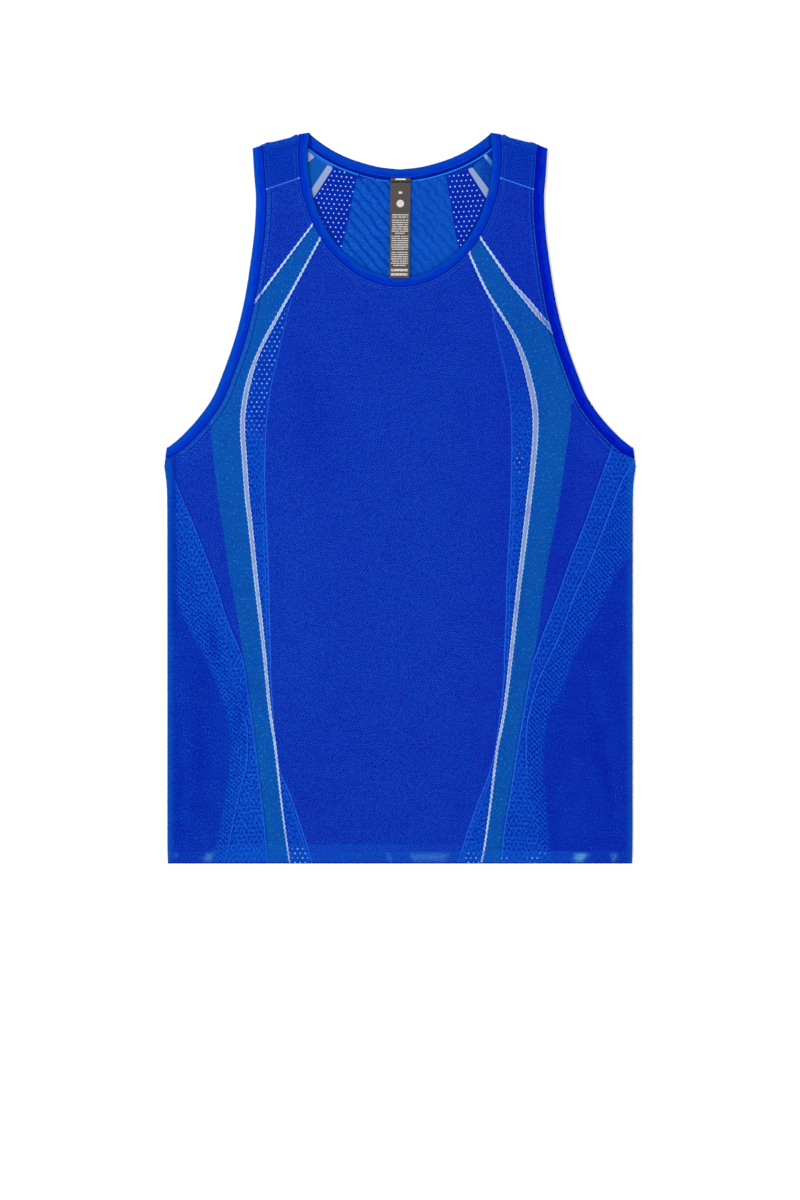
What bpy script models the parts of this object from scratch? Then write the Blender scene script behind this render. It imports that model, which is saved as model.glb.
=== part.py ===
"""A running singlet laid out flat: front, back with shoulder yoke, three bindings, care label.

Sizes are in millimetres and become metres in the meshes.  x runs across the chest, y towards
the shoulders and z up from the surface that the cloth lies on.  The origin is the middle of the
footprint.  Outlines are given for the half at +x and mirrored for the other half.
"""
import math
from collections import namedtuple

import bmesh
import bpy
from mathutils import Vector
from mathutils.geometry import delaunay_2d_cdt

MM = 0.001

# Layers, upwards from the surface
WALL = 1.0                      # knitted cloth
BINDING_WALL = 1.4              # strip folded over the raw edge
LABEL_WALL = 1.0
SEAM_GAP = 0.3                  # between two pieces that are sewn together
LAYER_GAP = 0.6                 # between front and back, with room for the ridges
BACK_MID = WALL / 2
FRONT_MID = WALL + LAYER_GAP + WALL / 2
CLOTH_FOLD = (FRONT_MID - BACK_MID) / 2
BINDING_LOW = BINDING_WALL / 2
BINDING_HIGH = BINDING_LOW + BINDING_WALL + SEAM_GAP
BINDING_FOLD = (BINDING_HIGH - BINDING_LOW) / 2

# Widths and lengths
FRONT_HEM_Y = -365.4
BACK_HEM_Y = -353.0
HEM_DROP = 9.0                  # the length over which the front sinks past the back's hem
ARM_BINDING_WIDTH = 10.5
NECK_FRONT_WIDTH = 9.6
NECK_BACK_WIDTH = 11.6
LABEL_WIDTH = 20.0

# How finely the cloth is divided
EDGE_STEP = 9.0
SIDE_STEP = 12.5
HEM_STEP = 18.0
FRONT_GRID = 16.5
BACK_GRID = 40.0
FOLD_STEPS = 5
CURL_ANGLES = (0.0, 30.0, 55.0, 79.0)   # the last one leaves half the seam gap at the side seam
TINY = 1e-3                     # points closer than this are one
CLEAR = 2.0                     # points closer than this to a cut are left out

Spot = namedtuple("Spot", "x y")
Fold = namedtuple("Fold", "outer inner")              # two spots on a straight fold
Wave = namedtuple("Wave", "x0 y0 x1 y1 half_width height")
Rung = namedtuple("Rung", "y bottom")                 # a section across the care label
Ridges = namedtuple("Ridges", "pitch half_width height heading margin step centre")

# Free edge of the armhole, from the shoulder to the underarm
ARMHOLE = (
    Spot(147.2, 348.0), Spot(145.6, 322.0), Spot(144.0, 300.0), Spot(145.2, 270.0),
    Spot(149.0, 238.0), Spot(155.4, 198.0), Spot(165.3, 158.0), Spot(179.5, 118.0),
    Spot(188.5, 98.0), Spot(203.0, 78.0), Spot(219.0, 61.0), Spot(231.6, 50.6),
)
# Free edge of the neck, from the shoulder down the front and down the back, to the centre
NECK_FRONT = (
    Spot(90.1, 363.9), Spot(92.0, 350.0), Spot(91.8, 334.0), Spot(89.0, 310.0), Spot(84.6, 295.0),
    Spot(79.8, 281.0), Spot(70.8, 264.5), Spot(59.8, 250.0), Spot(37.5, 231.5), Spot(17.0, 222.8),
    Spot(0.0, 220.3),
)
NECK_BACK = (
    Spot(90.1, 363.9), Spot(83.4, 358.3), Spot(72.0, 350.3), Spot(60.0, 343.7), Spot(44.5, 337.3),
    Spot(22.0, 331.1), Spot(0.0, 328.5),
)
# The fold at the side of the body, from the hem to the underarm binding
SIDE_FOLD = (
    Spot(230.8, FRONT_HEM_Y), Spot(231.4, -340.0), Spot(231.4, -230.0), Spot(231.5, -60.0),
    Spot(231.7, 0.0), Spot(232.6, 18.0), Spot(234.2, 28.0), Spot(234.5, 34.0), Spot(233.6, 39.2),
)
# The folds over the shoulder
ARM_FOLD = Fold(Spot(147.2, 348.0), Spot(137.7, 351.5))
YOKE_FOLD = Fold(Spot(136.7, 352.6), Spot(103.7, 360.7))
NECK_FOLD = Fold(Spot(90.1, 363.9), Spot(101.3, 362.3))
UNDERARM_FOLD = Fold(Spot(231.6, 50.6), Spot(233.4, 39.4))
# The forward shoulder seam, armhole end first
SHOULDER_SEAM = Fold(Spot(134.5, 308.3), Spot(99.5, 320.2))

# Soft creases of the front, as low swells that fade out sideways and lengthwise
FRONT_WAVES = (
    Wave(-213.0, -352.0, -214.0, -150.0, 20.0, 1.2),
    Wave(-176.0, -355.0, -192.0, -190.0, 24.0, 0.8),
    Wave(-142.0, -330.0, -166.0, -60.0, 30.0, 0.7),
    Wave(176.0, -350.0, 160.0, -120.0, 26.0, 0.9),
    Wave(212.0, -352.0, 208.0, -150.0, 20.0, 1.1),
    Wave(-120.0, 250.0, -112.0, 120.0, 26.0, 0.9),
    Wave(118.0, 255.0, 126.0, 110.0, 26.0, 0.8),
    Wave(-70.0, -300.0, -40.0, 60.0, 60.0, 0.8),
    Wave(60.0, -290.0, 50.0, 80.0, 55.0, 0.8),
    Wave(-205.0, 20.0, -160.0, 70.0, 24.0, 0.8),
    Wave(205.0, 20.0, 160.0, 70.0, 24.0, 0.8),
)
EDGE_FADE = 14.0                # the swells sink to nothing this far inside an edge

# Diagonal ridges on the inner face at the centre back
BACK_RIDGES = Ridges(pitch=8.0, half_width=2.6, height=0.3, heading=-47.0, margin=5.6, step=14.0,
                     centre=Spot(0.0, 262.0))
RIDGE_ZONE = (
    Spot(-43.0, 314.0), Spot(-62.0, 212.0), Spot(64.0, 212.0), Spot(47.0, 315.0), Spot(0.0, 310.0),
)

# Care label: centre line and sections, from under the back binding to the front binding
LABEL_TOP = Spot(0.6, 320.4)
LABEL_END = Spot(-0.7, 219.8)
LABEL_RUNGS = (
    Rung(320.4, 1.75), Rung(316.0, 1.72), Rung(290.0, 1.7), Rung(262.0, 1.7), Rung(241.0, 1.7),
    Rung(234.0, 1.85), Rung(229.0, 2.5), Rung(225.0, 3.2), Rung(222.5, 3.45), Rung(219.8, 3.45),
)


def smooth_line(spots, step):
    """Evenly spaced points on a Catmull-Rom curve through the spots."""
    knots = [Vector((spot.x, spot.y)) for spot in spots]
    knots = [2 * knots[0] - knots[1]] + knots + [2 * knots[-1] - knots[-2]]
    fine = [knots[1]]
    for before, start, end, after in zip(knots, knots[1:], knots[2:], knots[3:]):
        for part in range(1, 13):
            t = part / 12
            fine.append(0.5 * (2 * start + (end - before) * t
                               + (2 * before - 5 * start + 4 * end - after) * t ** 2
                               + (3 * start - before - 3 * end + after) * t ** 3))
    return even_line(fine, step)


def even_line(points, step):
    """The same line with points a step apart, both ends kept."""
    lengths = [0.0]
    for start, end in zip(points, points[1:]):
        lengths.append(lengths[-1] + (end - start).length)
    count = max(1, round(lengths[-1] / step))
    even = [points[0].copy()]
    place = 1
    for number in range(1, count):
        goal = lengths[-1] * number / count
        while lengths[place] < goal:
            place += 1
        share = (goal - lengths[place - 1]) / (lengths[place] - lengths[place - 1])
        even.append(points[place - 1].lerp(points[place], share))
    return even + [points[-1].copy()]


def shifted(line, distance):
    """The line moved to the right of its own direction by the distance."""
    moved = []
    for number, point in enumerate(line):
        ahead = line[min(number + 1, len(line) - 1)]
        behind = line[max(number - 1, 0)]
        along = (ahead - behind).normalized()
        moved.append(point + distance * Vector((along.y, -along.x)))
    return moved


def mirrored(points):
    """The points on the other half, in the opposite order."""
    return [Vector((-point.x, point.y)) for point in reversed(points)]


def whole(half):
    """A line that ends on the centre, continued by its mirror image."""
    return half + mirrored(half)[1:]


def axis_of(fold):
    """A point on the fold, its direction and its normal away from the body."""
    start = Vector((fold.outer.x, fold.outer.y))
    along = (Vector((fold.inner.x, fold.inner.y)) - start).normalized()
    away = Vector((-along.y, along.x))
    if away.dot(start) < 0:
        away = -away
    return start, along, away


def on_axis(fold, x):
    """The point of the fold's line at this x."""
    start, along, away = axis_of(fold)
    return start + along * ((x - start.x) / along.x)


def split(line, fold, shift):
    """The line before and after it crosses the fold's line, moved along its normal by shift."""
    start, _, away = axis_of(fold)
    heights = [(point - start).dot(away) - shift for point in line]
    for number in range(len(line) - 1):
        above, below = heights[number], heights[number + 1]
        if (above > 0) != (below > 0):
            crossing = line[number].lerp(line[number + 1], above / (above - below))
            head = [point for point in line[:number + 1] if (point - crossing).length > CLEAR]
            tail = [point for point in line[number + 1:] if (point - crossing).length > CLEAR]
            return head + [crossing], [crossing] + tail
    raise ValueError("the line doesn't cross the fold")


def near_line(point, points):
    """Distance from a point to an open or closed line of points."""
    best = math.inf
    for start, end in zip(points, points[1:]):
        run = end - start
        share = max(0.0, min(1.0, (point - start).dot(run) / run.length_squared))
        best = min(best, (start + run * share - point).length)
    return best


def inside(point, outline):
    """Whether the point lies inside the closed outline."""
    result = False
    for start, end in zip(outline, outline[1:] + outline[:1]):
        if (start.y > point.y) != (end.y > point.y):
            if point.x < start.x + (end.x - start.x) * (point.y - start.y) / (end.y - start.y):
                result = not result
    return result


def grid_points(outline, lines, spacing):
    """Staggered points inside the outline, clear of its edge and of the lines."""
    barriers = [outline + outline[:1]] + lines
    top = max(point.y for point in outline)
    side = max(point.x for point in outline)
    points = []
    row = 0
    y = min(point.y for point in outline) + spacing / 2
    while y < top:
        x = -side + (spacing / 2 if row % 2 else 0.0)
        while x < side:
            point = Vector((x, y))
            if inside(point, outline) and all(near_line(point, line) > spacing * 0.45
                                              for line in barriers):
                points.append(point)
            x += spacing
        y += spacing * math.sqrt(3) / 2
        row += 1
    return points


def faced_side(bm, outline, lines, spacing, place, lift):
    """One face of a cloth, and its vertices along the outline."""
    points = list(outline)
    edges = [(number, (number + 1) % len(outline)) for number in range(len(outline))]
    for line in lines:
        marks = []
        for spot in line:
            same = [number for number, point in enumerate(points) if (point - spot).length < TINY]
            if not same:
                points.append(spot)
            marks.append(same[0] if same else len(points) - 1)
        edges += list(zip(marks, marks[1:]))
    points += grid_points(outline, lines, spacing)
    inside_only = 1
    flat, _, faces, sources, _, _ = delaunay_2d_cdt(points, edges, [], inside_only, TINY / 100)
    verts = [bm.verts.new(place(spot.x, spot.y, lift)) for spot in flat]
    for face in faces:
        bm.faces.new([verts[number] for number in face])
    rim = [None] * len(outline)
    for number, origins in enumerate(sources):
        for origin in origins:
            if origin < len(outline):
                rim[origin] = verts[number]
    return rim


def close_rim(bm, upper, lower):
    """Joins two loops of vertices of the same length."""
    count = len(upper)
    for number in range(count):
        after = (number + 1) % count
        bm.faces.new((upper[number], upper[after], lower[after], lower[number]))


def finish_piece(name, bm, colour, roughness):
    """A closed, outward-facing object in metres with its own material."""
    bmesh.ops.triangulate(bm, faces=bm.faces)
    bmesh.ops.recalc_face_normals(bm, faces=bm.faces)
    bmesh.ops.scale(bm, vec=(MM, MM, MM), verts=bm.verts)
    mesh = bpy.data.meshes.new(name)
    bm.to_mesh(mesh)
    bm.free()
    mesh.shade_smooth()
    mesh.set_sharp_from_angle(angle=math.radians(40))
    piece = bpy.data.objects.new(name, mesh)
    bpy.context.scene.collection.objects.link(piece)
    material = bpy.data.materials.new(name + "_cloth")
    material.use_nodes = True
    shader = material.node_tree.nodes["Principled BSDF"]
    shader.inputs["Base Color"].default_value = (*colour, 1.0)
    shader.inputs["Roughness"].default_value = roughness
    shader.inputs["Metallic"].default_value = 0.0
    material.diffuse_color = (*colour, 1.0)
    mesh.materials.append(material)
    return piece


def eased(share):
    """0 to 1 with level ends."""
    share = max(0.0, min(1.0, share))
    return share * share * (3 - 2 * share)


class SideFold:
    """The line where the front turns over to the back, and the rows across the turn."""

    def __init__(self, hem_y):
        self.line = smooth_line(SIDE_FOLD, EDGE_STEP / 2)
        levels = [point.y for point in even_line(self.line, SIDE_STEP)
                  if point.y > hem_y + CLEAR]
        self.levels = [hem_y] + levels[:-1] + [SIDE_FOLD[-1].y - SEAM_GAP]

    def x(self, y):
        """Where the fold is at this height of the garment."""
        for start, end in zip(self.line, self.line[1:]):
            if y <= end.y:
                return start.x + (end.x - start.x) * (y - start.y) / (end.y - start.y)
        return self.line[-1].x

    def row(self, angle):
        """The cloth's points that end up at this angle round the turn."""
        reach = CLOTH_FOLD * math.radians(angle)
        return [Vector((self.x(y) + reach, y)) for y in self.levels]


def armhole_edge():
    """The panels' edge along the armhole binding, from the shoulder fold to the side fold."""
    edge = shifted(smooth_line(ARMHOLE, EDGE_STEP), ARM_BINDING_WIDTH + SEAM_GAP)
    return [on_axis(YOKE_FOLD, ARM_FOLD.inner.x - SEAM_GAP)] + edge[1:-1]


def neck_edge(free_edge, width):
    """The panels' edge along the neck binding, from the shoulder fold to the centre."""
    edge = shifted(smooth_line(free_edge, EDGE_STEP), -width - SEAM_GAP)
    edge[-1].x = 0.0
    return [on_axis(YOKE_FOLD, NECK_FOLD.inner.x + SEAM_GAP)] + edge[1:]


def fold_over(x, y, lift, fold, radius, middle):
    """Where cloth that runs past a fold in its flat state ends up, turned up over the fold."""
    start, _, away = axis_of(fold)
    if x < 0:
        mirror = Vector((-1, 1))
        start, away = start * mirror, away * mirror
    past = (Vector((x, y)) - start).dot(away)
    if past <= 0:
        return Vector((x, y, middle - lift))
    foot = Vector((x, y)) - away * past
    turn = min(past / radius, math.pi)
    spot = foot + away * ((radius + lift) * math.sin(turn) - max(0.0, past - math.pi * radius))
    return Vector((spot.x, spot.y, middle + radius - (radius + lift) * math.cos(turn)))


def unfolded(point, fold, radius):
    """The flat cloth's point for one that lies turned over the fold."""
    start, _, away = axis_of(fold)
    return point + away * (math.pi * radius - 2 * (point - start).dot(away))


def swell(x, y, edges):
    """Height of the front's soft creases."""
    point = Vector((x, y))
    height = 0.0
    for wave in FRONT_WAVES:
        start, end = Vector((wave.x0, wave.y0)), Vector((wave.x1, wave.y1))
        run = end - start
        share = (point - start).dot(run) / run.length_squared
        if 0 < share < 1:
            aside = (start + run * share - point).length / wave.half_width
            if aside < 1:
                height += wave.height * (1 - aside ** 2) ** 2 * math.sin(math.pi * share)
    return height * eased(near_line(point, edges) / EDGE_FADE)


def front_panel():
    """The front: flat on top of the back, turned down at both sides as far as the side seams."""
    side = SideFold(FRONT_HEM_Y)
    rows = [side.row(angle) for angle in CURL_ANGLES]
    _, arm = split(armhole_edge(), SHOULDER_SEAM, -SEAM_GAP / 2)
    _, neck = split(neck_edge(NECK_FRONT, NECK_FRONT_WIDTH), SHOULDER_SEAM, -SEAM_GAP / 2)
    hem = even_line([Vector((0.0, FRONT_HEM_Y)), rows[0][0]], HEM_STEP)
    seam = even_line([arm[0], neck[0]], EDGE_STEP)
    half = (hem + [row[0] for row in rows[1:]] + rows[-1][1:]
            + [row[-1] for row in reversed(rows[:-1])]
            + list(reversed(arm)) + seam[1:-1] + neck)
    outline = half + mirrored(half)[1:-1]
    lines = rows[:-1] + [mirrored(row) for row in rows[:-1]]
    edges = outline + outline[:1]

    def place(x, y, lift):
        drop = eased((BACK_HEM_Y - 1 - y) / HEM_DROP)
        middle = FRONT_MID + swell(x, y, edges) + (BACK_MID - FRONT_MID) * drop
        fold_x = side.x(y)
        past = abs(x) - fold_x
        if past <= TINY:
            return (x, y, middle + lift)
        turn = past / CLOTH_FOLD
        curled = Vector((fold_x + (CLOTH_FOLD + lift) * math.sin(turn), y,
                         middle - CLOTH_FOLD + (CLOTH_FOLD + lift) * math.cos(turn)))
        spot = curled.lerp(Vector((abs(x), y, middle + lift)), drop)
        return (math.copysign(spot.x, x), y, spot.z)

    bm = bmesh.new()
    upper = faced_side(bm, outline, lines, FRONT_GRID, place, WALL / 2)
    lower = faced_side(bm, outline, lines, FRONT_GRID, place, -WALL / 2)
    close_rim(bm, upper, lower)
    return finish_piece("front_panel", bm, (0.006, 0.035, 0.43), 0.85)


def ridge_lines():
    """Crest and both feet of each diagonal ridge, as lines that end inside the zone."""
    zone = [Vector((spot.x, spot.y)) for spot in RIDGE_ZONE]
    size = max((spot - zone[0]).length for spot in zone)
    heading = math.radians(BACK_RIDGES.heading)
    along = Vector((math.cos(heading), math.sin(heading)))
    across = Vector((-along.y, along.x))
    count = round(size / BACK_RIDGES.pitch)
    ridges = []
    for number in range(-count, count + 1):
        middle = Vector(BACK_RIDGES.centre) + across * (number * BACK_RIDGES.pitch)
        path = even_line([middle - along * size, middle + along * size], BACK_RIDGES.step / 3)
        path = [point for point in path if inside(point, zone)
                and near_line(point, zone + zone[:1]) > BACK_RIDGES.margin]
        if path and (path[-1] - path[0]).length > BACK_RIDGES.step * 3:
            crest = even_line([path[0], path[-1]], BACK_RIDGES.step)
            reach = across * BACK_RIDGES.half_width
            ridges.append((crest, [point + reach for point in crest],
                           [point - reach for point in crest]))
    return ridges


def back_panel():
    """The back: flat on the surface, up round the sides, and over the shoulders as a yoke."""
    side = SideFold(BACK_HEM_Y)
    rows = [side.row(angle) for angle in CURL_ANGLES]
    arm = armhole_edge()
    yoke_arm, _ = split(arm, SHOULDER_SEAM, SEAM_GAP / 2)
    yoke_neck, _ = split(neck_edge(NECK_FRONT, NECK_FRONT_WIDTH), SHOULDER_SEAM, SEAM_GAP / 2)
    neck = neck_edge(NECK_BACK, NECK_BACK_WIDTH)
    _, _, away = axis_of(YOKE_FOLD)
    arcs = [away * (math.pi * CLOTH_FOLD * step / FOLD_STEPS) for step in range(FOLD_STEPS + 1)]
    fold_rows = [even_line([arm[0] + arc, neck[0] + arc], EDGE_STEP) for arc in arcs]
    yoke_arm = [unfolded(point, YOKE_FOLD, CLOTH_FOLD) for point in yoke_arm]
    yoke_neck = [unfolded(point, YOKE_FOLD, CLOTH_FOLD) for point in yoke_neck]
    seam = even_line([yoke_arm[-1], yoke_neck[-1]], EDGE_STEP)
    hem = even_line([Vector((0.0, BACK_HEM_Y)), rows[0][0]], HEM_STEP)
    half = (hem + [row[0] for row in rows[1:]] + rows[-1][1:]
            + [row[-1] for row in reversed(rows[:-1])]
            + list(reversed(arm)) + [row[0] for row in fold_rows[1:]]
            + yoke_arm[1:] + seam[1:-1] + list(reversed(yoke_neck))[:-1]
            + [row[-1] for row in reversed(fold_rows[1:])] + neck)
    outline = half + mirrored(half)[1:-1]
    lines = rows[:-1] + fold_rows
    lines += [mirrored(line) for line in lines]
    ridges = ridge_lines()
    raised = [crest[1:-1] for crest, _, _ in ridges]

    def place(x, y, lift):
        fold_x = side.x(y)
        past = abs(x) - fold_x
        if past > TINY and y < SIDE_FOLD[-1].y:
            turn = past / CLOTH_FOLD
            return (math.copysign(fold_x + (CLOTH_FOLD + lift) * math.sin(turn), x), y,
                    BACK_MID + CLOTH_FOLD - (CLOTH_FOLD + lift) * math.cos(turn))
        spot = fold_over(x, y, lift, YOKE_FOLD, CLOTH_FOLD, BACK_MID)
        if lift < 0 and any(near_line(Vector((x, y)), crest) < TINY for crest in raised):
            spot.z += BACK_RIDGES.height
        return spot

    bm = bmesh.new()
    outer = faced_side(bm, outline, lines, BACK_GRID, place, WALL / 2)
    inner = faced_side(bm, outline, lines + [line for ridge in ridges for line in ridge],
                       BACK_GRID, place, -WALL / 2)
    close_rim(bm, outer, inner)
    return finish_piece("back_panel", bm, (0.006, 0.04, 0.45), 0.85)


def folded_ends(fold, sign):
    """Binding sections round a fold: from the upper layer to the lower one."""
    _, _, away = axis_of(fold)
    away = away * Vector((sign, 1))
    middle = (BINDING_LOW + BINDING_HIGH) / 2
    sections = []
    for step in range(1, FOLD_STEPS):
        turn = math.pi * step / FOLD_STEPS
        out = Vector((away.x * math.sin(turn), away.y * math.sin(turn), math.cos(turn)))
        ends = [Vector((spot.x * sign, spot.y, middle)) + out * BINDING_FOLD for spot in fold]
        sections.append((ends[0], ends[1], out))
    return sections


def laid_sections(free_edge, sewn_edge, height, up):
    """Binding sections along a flat stretch."""
    out = Vector((0.0, 0.0, up))
    return [(Vector((*free, height)), Vector((*sewn, height)), out)
            for free, sewn in zip(free_edge, sewn_edge)]


def binding(name, sections, colour):
    """A closed ring of binding from its sections: free edge, sewn edge and outward direction."""
    bm = bmesh.new()
    half = BINDING_WALL / 2
    rings = []
    for free, sewn, out in sections:
        corners = (free + out * half, sewn + out * half, sewn - out * half, free - out * half)
        rings.append([bm.verts.new(corner) for corner in corners])
    for ring, after in zip(rings, rings[1:] + rings[:1]):
        for number in range(4):
            other = (number + 1) % 4
            bm.faces.new((ring[number], ring[other], after[other], after[number]))
    return finish_piece(name, bm, colour, 0.6)


def pinned(line, first, last):
    """The line with its ends moved to the given spots."""
    return [Vector((first.x, first.y))] + line[1:-1] + [Vector((last.x, last.y))]


def arm_binding(name, sign, colour):
    """One armhole's ring: front stretch, shoulder fold, back stretch, underarm fold."""
    free = pinned(smooth_line(ARMHOLE, EDGE_STEP), ARM_FOLD.outer, UNDERARM_FOLD.outer)
    sewn = pinned(shifted(free, ARM_BINDING_WIDTH), ARM_FOLD.inner, UNDERARM_FOLD.inner)
    if sign < 0:
        free = list(reversed(mirrored(free)))
        sewn = list(reversed(mirrored(sewn)))
    front = laid_sections(free, sewn, BINDING_HIGH, 1)
    back = laid_sections(free, sewn, BINDING_LOW, -1)
    sections = (front + folded_ends(UNDERARM_FOLD, sign) + list(reversed(back))
                + list(reversed(folded_ends(ARM_FOLD, sign))))
    return binding(name, sections, colour)


def neck_binding():
    """The neck's ring: front scoop on top, both shoulder folds, back neck below."""
    front_free = smooth_line(NECK_FRONT, EDGE_STEP)
    front_sewn = shifted(front_free, -NECK_FRONT_WIDTH)
    front_sewn = pinned(front_sewn, NECK_FOLD.inner, Vector((0.0, front_sewn[-1].y)))
    back_free = smooth_line(NECK_BACK, EDGE_STEP)
    back_sewn = shifted(back_free, -NECK_BACK_WIDTH)
    back_sewn = pinned(back_sewn, NECK_FOLD.inner, Vector((0.0, back_sewn[-1].y)))
    front = laid_sections(whole(front_free), whole(front_sewn), BINDING_HIGH, 1)
    back = laid_sections(whole(back_free), whole(back_sewn), BINDING_LOW, -1)
    sections = (front + folded_ends(NECK_FOLD, -1) + list(reversed(back))
                + list(reversed(folded_ends(NECK_FOLD, 1))))
    return binding("neck_band", sections, (0.006, 0.04, 0.53))


def care_label():
    """A long strip from the back neck binding to the front one, seen in the neck."""
    bm = bmesh.new()
    rings = []
    for rung in LABEL_RUNGS:
        share = (LABEL_TOP.y - rung.y) / (LABEL_TOP.y - LABEL_END.y)
        middle = LABEL_TOP.x + (LABEL_END.x - LABEL_TOP.x) * share
        left, right = middle - LABEL_WIDTH / 2, middle + LABEL_WIDTH / 2
        top = rung.bottom + LABEL_WALL
        rings.append([bm.verts.new(corner) for corner in (
            (left, rung.y, rung.bottom), (right, rung.y, rung.bottom),
            (right, rung.y, top), (left, rung.y, top))])
    for ring, after in zip(rings, rings[1:]):
        for number in range(4):
            other = (number + 1) % 4
            bm.faces.new((ring[number], ring[other], after[other], after[number]))
    bm.faces.new(rings[0])
    bm.faces.new(rings[-1])
    return finish_piece("care_label", bm, (0.14, 0.12, 0.11), 0.7)


def build():
    """Clears the scene and makes the six pieces."""
    for item in list(bpy.data.objects):
        bpy.data.objects.remove(item, do_unlink=True)
    front_panel()
    back_panel()
    neck_binding()
    arm_binding("arm_band_left", -1, (0.006, 0.05, 0.55))
    arm_binding("arm_band_right", 1, (0.006, 0.015, 0.5))
    care_label()


build()
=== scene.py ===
"""A running singlet laid out flat: knitted shells, bindings, sewing, care label and studio.

Sizes are in millimetres and become metres in the meshes.  x runs across the chest, y towards the
shoulders and z up from the surface that the garment lies on.
"""
import logging
import math
from dataclasses import dataclass, field
from enum import Enum
from typing import Callable, NamedTuple, Sequence, Union

import bmesh
import bpy
import numpy as np
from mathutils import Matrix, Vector
from mathutils.geometry import delaunay_2d_cdt


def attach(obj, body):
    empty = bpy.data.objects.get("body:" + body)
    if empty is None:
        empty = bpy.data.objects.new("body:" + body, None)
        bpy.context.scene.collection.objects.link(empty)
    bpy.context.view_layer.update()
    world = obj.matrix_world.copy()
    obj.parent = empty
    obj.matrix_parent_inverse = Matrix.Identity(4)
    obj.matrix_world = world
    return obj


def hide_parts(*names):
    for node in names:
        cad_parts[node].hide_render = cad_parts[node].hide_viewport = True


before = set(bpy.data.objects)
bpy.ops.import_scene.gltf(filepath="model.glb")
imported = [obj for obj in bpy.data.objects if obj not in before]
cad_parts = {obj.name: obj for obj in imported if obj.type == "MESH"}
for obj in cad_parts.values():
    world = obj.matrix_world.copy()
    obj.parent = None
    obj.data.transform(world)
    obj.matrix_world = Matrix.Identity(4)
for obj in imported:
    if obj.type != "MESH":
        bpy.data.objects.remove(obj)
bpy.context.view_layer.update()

LOG = logging.getLogger("singlet")
MM = 0.001
STUDIO_LEVEL = 1.40             # light that a level surface gets, against full white
BODY = "root"
LINE_STEP = 2.0                 # spacing of the points of the knit's lines and the stitch rows

Array = np.ndarray
Piece = bpy.types.Object
Colour = tuple[float, float, float, float]
Place = Callable[[Array, float], Array]
Edges = tuple[Array, Array]                 # a binding's free edge and its sewn edge
Section = tuple[Array, Array, Array]        # a point of each of them, and outward direction
Value = Union["Field", float, Colour]       # what a node's socket takes
Pair = tuple[float, float]
Outline = tuple[Pair, ...]                  # x and y of each point
Marks = tuple[Pair, ...]                    # distance from the garment's centre, and y
StripeMarks = tuple[tuple[float, float, float], ...]        # those of a stripe's middle, and width
Strokes = tuple[tuple[float, float, float, float, float, float], ...]    # see soft_sum


def tint(red: float, green: float, blue: float) -> Colour:
    """A cloth colour that shows as these display values (0 to 255) under the studio light.

    Args:
        red, green, blue: the colour as displayed.
    Returns:
        The colour for a shader.
    """
    shares = [value / 255 for value in (red, green, blue)]
    linear = [share / 12.92 if share <= 0.04045 else ((share + 0.055) / 1.055) ** 2.4
              for share in shares]
    return (*[value / STUDIO_LEVEL for value in linear], 1.0)


class Side(Enum):
    """The two halves of the garment, by the sign of x."""

    LEFT = -1
    RIGHT = 1


class Spot(NamedTuple):
    """A point of the cut."""

    x: float
    y: float


class Fold(NamedTuple):
    """A straight fold or seam between two spots."""

    outer: Spot
    inner: Spot


class SheerPatch(NamedTuple):
    """A thin patch of the turned hem: how strongly it shows, and its corners."""

    strength: float
    corners: Outline


class Reach(NamedTuple):
    """Where something sets in: nothing at the first place and all of it at the second."""

    none: float
    full: float


class Swell(NamedTuple):
    """A swelling along a fold: where it starts and ends, how fast, and its height."""

    start: float
    rise: float
    end: float
    fall: float
    height: float

    def at(self, x: Array) -> Array:
        """Its height at these places."""
        return (eased((x - self.start) / self.rise) * eased((self.end - x) / self.fall)
                * self.height)


# ---- lines and areas of the cut


def even_line(points: Array, step: float) -> Array:
    """Spaces a line's points evenly, both ends kept.

    Args:
        points: the line's points.
        step: about how far apart the new ones are.
    Returns:
        The same line's new points.
    """
    sizes = np.linalg.norm(np.diff(points, axis=0), axis=1)
    lengths = np.concatenate([[0.0], np.cumsum(sizes)])
    goals = np.linspace(0.0, lengths[-1], max(1, round(lengths[-1] / step)) + 1)
    return np.column_stack([np.interp(goals, lengths, column) for column in points.T])


def smooth_line(spots: Outline, step: float) -> Array:
    """Draws a Catmull-Rom curve.

    Args:
        spots: what it passes through.
        step: about how far apart its points are.
    Returns:
        Evenly spaced points of the curve.
    """
    knots = np.array(spots, float)
    knots = np.vstack([2 * knots[0] - knots[1], knots, 2 * knots[-1] - knots[-2]])
    t = np.linspace(0, 1, 13)[1:, None]
    fine = [knots[1:2]]
    for before, start, end, after in zip(knots, knots[1:], knots[2:], knots[3:]):
        fine.append(0.5 * (2 * start + (end - before) * t
                           + (2 * before - 5 * start + 4 * end - after) * t ** 2
                           + (3 * start - before - 3 * end + after) * t ** 3))
    return even_line(np.vstack(fine), step)


def shifted(line: Array, distance: float) -> Array:
    """The line moved to the right of its own direction."""
    along = np.gradient(line, axis=0)
    along /= np.linalg.norm(along, axis=1)[:, None]
    return line + distance * np.column_stack([along[:, 1], -along[:, 0]])


def mirrored(points: Array) -> Array:
    """The points on the other half, in the opposite order."""
    return points[::-1] * np.array([-1.0, 1.0])


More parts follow.
